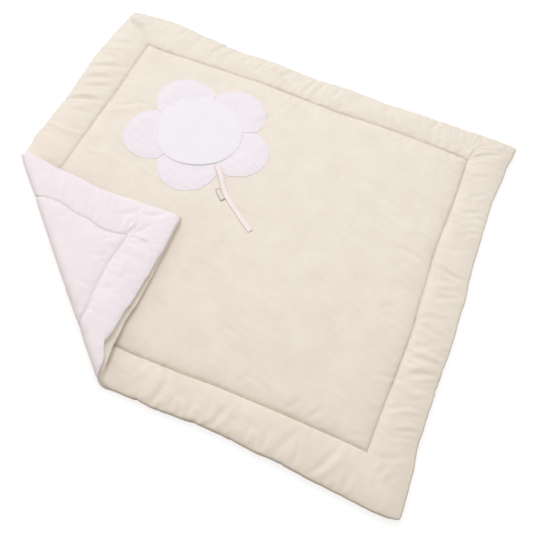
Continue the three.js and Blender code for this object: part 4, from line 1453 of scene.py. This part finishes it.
# %% Each piece takes its material, rides on the mat and stands for its CAD node
PIECES = [
    (face_cloth, beige_cotton, "face_cotton", "face_panel"),
    (back_cloth, pink_cotton, "back_cotton", "back_panel"),
    (disc, white_cotton, "disc_cotton", "flower_centre"),
    (ribbon, pink_ribbon, "stem_ribbon", "stem_ribbon"),
    (tab, plain_tape, "tab_tape", "stem_label"),
    (face_thread, seam_shaded_beige_thread, "face_cotton", None),
    (back_thread, seam_shaded_mauve_thread, "back_cotton", None),
    (petal_thread, fine_thread, "petal_cotton", None),
    (disc_thread, fine_thread, "disc_cotton", None),
]
PIECES += [(petal, petal_cotton, "petal_cotton", f"petal_{k + 1}") for k, petal in enumerate(petals)]
for piece, material, slot, node in PIECES:
    piece.data.materials.append(material)
    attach(piece, "root")
    if node:
        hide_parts(node)

# %% [markdown]
# ## Floor and light
# The picture is a bright one: the floor is burnt out to white, with only a faint shadow by
# the mat, and the light on the mat is soft. It is brightest and coolest at the far left and
# warmer towards the near right, as beside a window. A floor that glows a little gives the
# first, and it doesn't light the mat from below. A warm sky, which is dimmer on the near
# side, and broad lamps give the second: a cool one at the far left, which shades the
# padding, a cool one above, and a low pale one at the left, which fills the folded edge. The
# camera itself sees the sky as plain white, like the floor.

# %% Floor
floor_mesh = bpy.data.meshes.new("floor")
FLOOR_HALF = 6
floor_corners = [(-1, -1), (1, -1), (1, 1), (-1, 1)]
floor_points = [(FLOOR_HALF * x, FLOOR_HALF * y, 0) for x, y in floor_corners]
floor_mesh.from_pydata(floor_points, [], [(0, 1, 2, 3)])
floor = bpy.data.objects.new("floor", floor_mesh)
floor.location.z = -0.4 * MM
floor.visible_diffuse = False
bpy.context.collection.objects.link(floor)
FLOOR_GLOW = 0.74
paper = bpy.data.materials.new("matt white paper")
paper.use_nodes = True
paper_shader = paper.node_tree.nodes["Principled BSDF"]
paper_shader.inputs["Base Color"].default_value = linear("#A0A0A0")
paper_shader.inputs["Roughness"].default_value = 0.9
paper_shader.inputs["Specular IOR Level"].default_value = 0.1
paper_shader.inputs["Emission Color"].default_value = (1, 1, 1, 1)
paper_shader.inputs["Emission Strength"].default_value = FLOOR_GLOW
floor_mesh.materials.append(paper)

# %% A warm sky, brightest where the lamp is and dimmest opposite it
SKY_HEX = "#FFF7EA"
SKY_BRIGHT = 0.80
SKY_DIM = 0.22
LIGHT_FROM = Vector((-0.45, 0.60, 0.66)).normalized()

world = bpy.data.worlds.new("studio sky")
world.use_nodes = True
sky_tree = world.node_tree
sky = sky_tree.nodes["Background"]
sky.inputs["Color"].default_value = linear(SKY_HEX)
direction_seen = add_node(sky_tree, "ShaderNodeTexCoord")
facing_lamp = add_node(sky_tree, "ShaderNodeVectorMath", {1: LIGHT_FROM},
                       {0: direction_seen.outputs["Generated"]}, operation="DOT_PRODUCT")
brightness = add_node(sky_tree, "ShaderNodeMapRange",
                      {"From Min": -1, "To Min": SKY_DIM, "To Max": SKY_BRIGHT},
                      {"Value": facing_lamp.outputs["Value"]})
seen_directly = add_node(sky_tree, "ShaderNodeLightPath")
pale_behind = add_node(sky_tree, "ShaderNodeMath", {},
                       {0: brightness.outputs[0], 1: seen_directly.outputs["Is Camera Ray"]},
                       operation="MAXIMUM")
white_behind = add_node(sky_tree, "ShaderNodeMix", {6: linear(SKY_HEX), 7: (1, 1, 1, 1)},
                        {0: seen_directly.outputs["Is Camera Ray"]}, data_type="RGBA")
sky_tree.links.new(pale_behind.outputs[0], sky.inputs["Strength"])
sky_tree.links.new(white_behind.outputs[2], sky.inputs["Color"])
bpy.context.scene.world = world

# %% Broad lamps: name, place and size in metres, watts, colour
COOL = (0.79, 0.87, 1)
PALE = (1, 0.97, 0.97)
LAMPS = [
    ("far left lamp", (-1.2, 1.8, 2.5), 1.2, 26.3, COOL),
    ("top lamp", (0.1, 0.3, 1.4), 1.0, 6.4, COOL),
    ("left card", (-1.5, -0.7, 0.45), 0.8, 4.0, PALE),
]
for name, place, size, watts, colour in LAMPS:
    lamp_data = bpy.data.lights.new(name, "AREA")
    lamp_data.size = size
    lamp_data.energy = watts
    lamp_data.color = colour
    lamp = bpy.data.objects.new(name, lamp_data)
    lamp.location = place
    lamp.rotation_euler = (-Vector(place)).to_track_quat("-Z", "Y").to_euler()
    lamp.visible_camera = False
    bpy.context.collection.objects.link(lamp)

bpy.context.scene.view_settings.view_transform = "Standard"
bpy.context.scene.view_settings.look = "None"
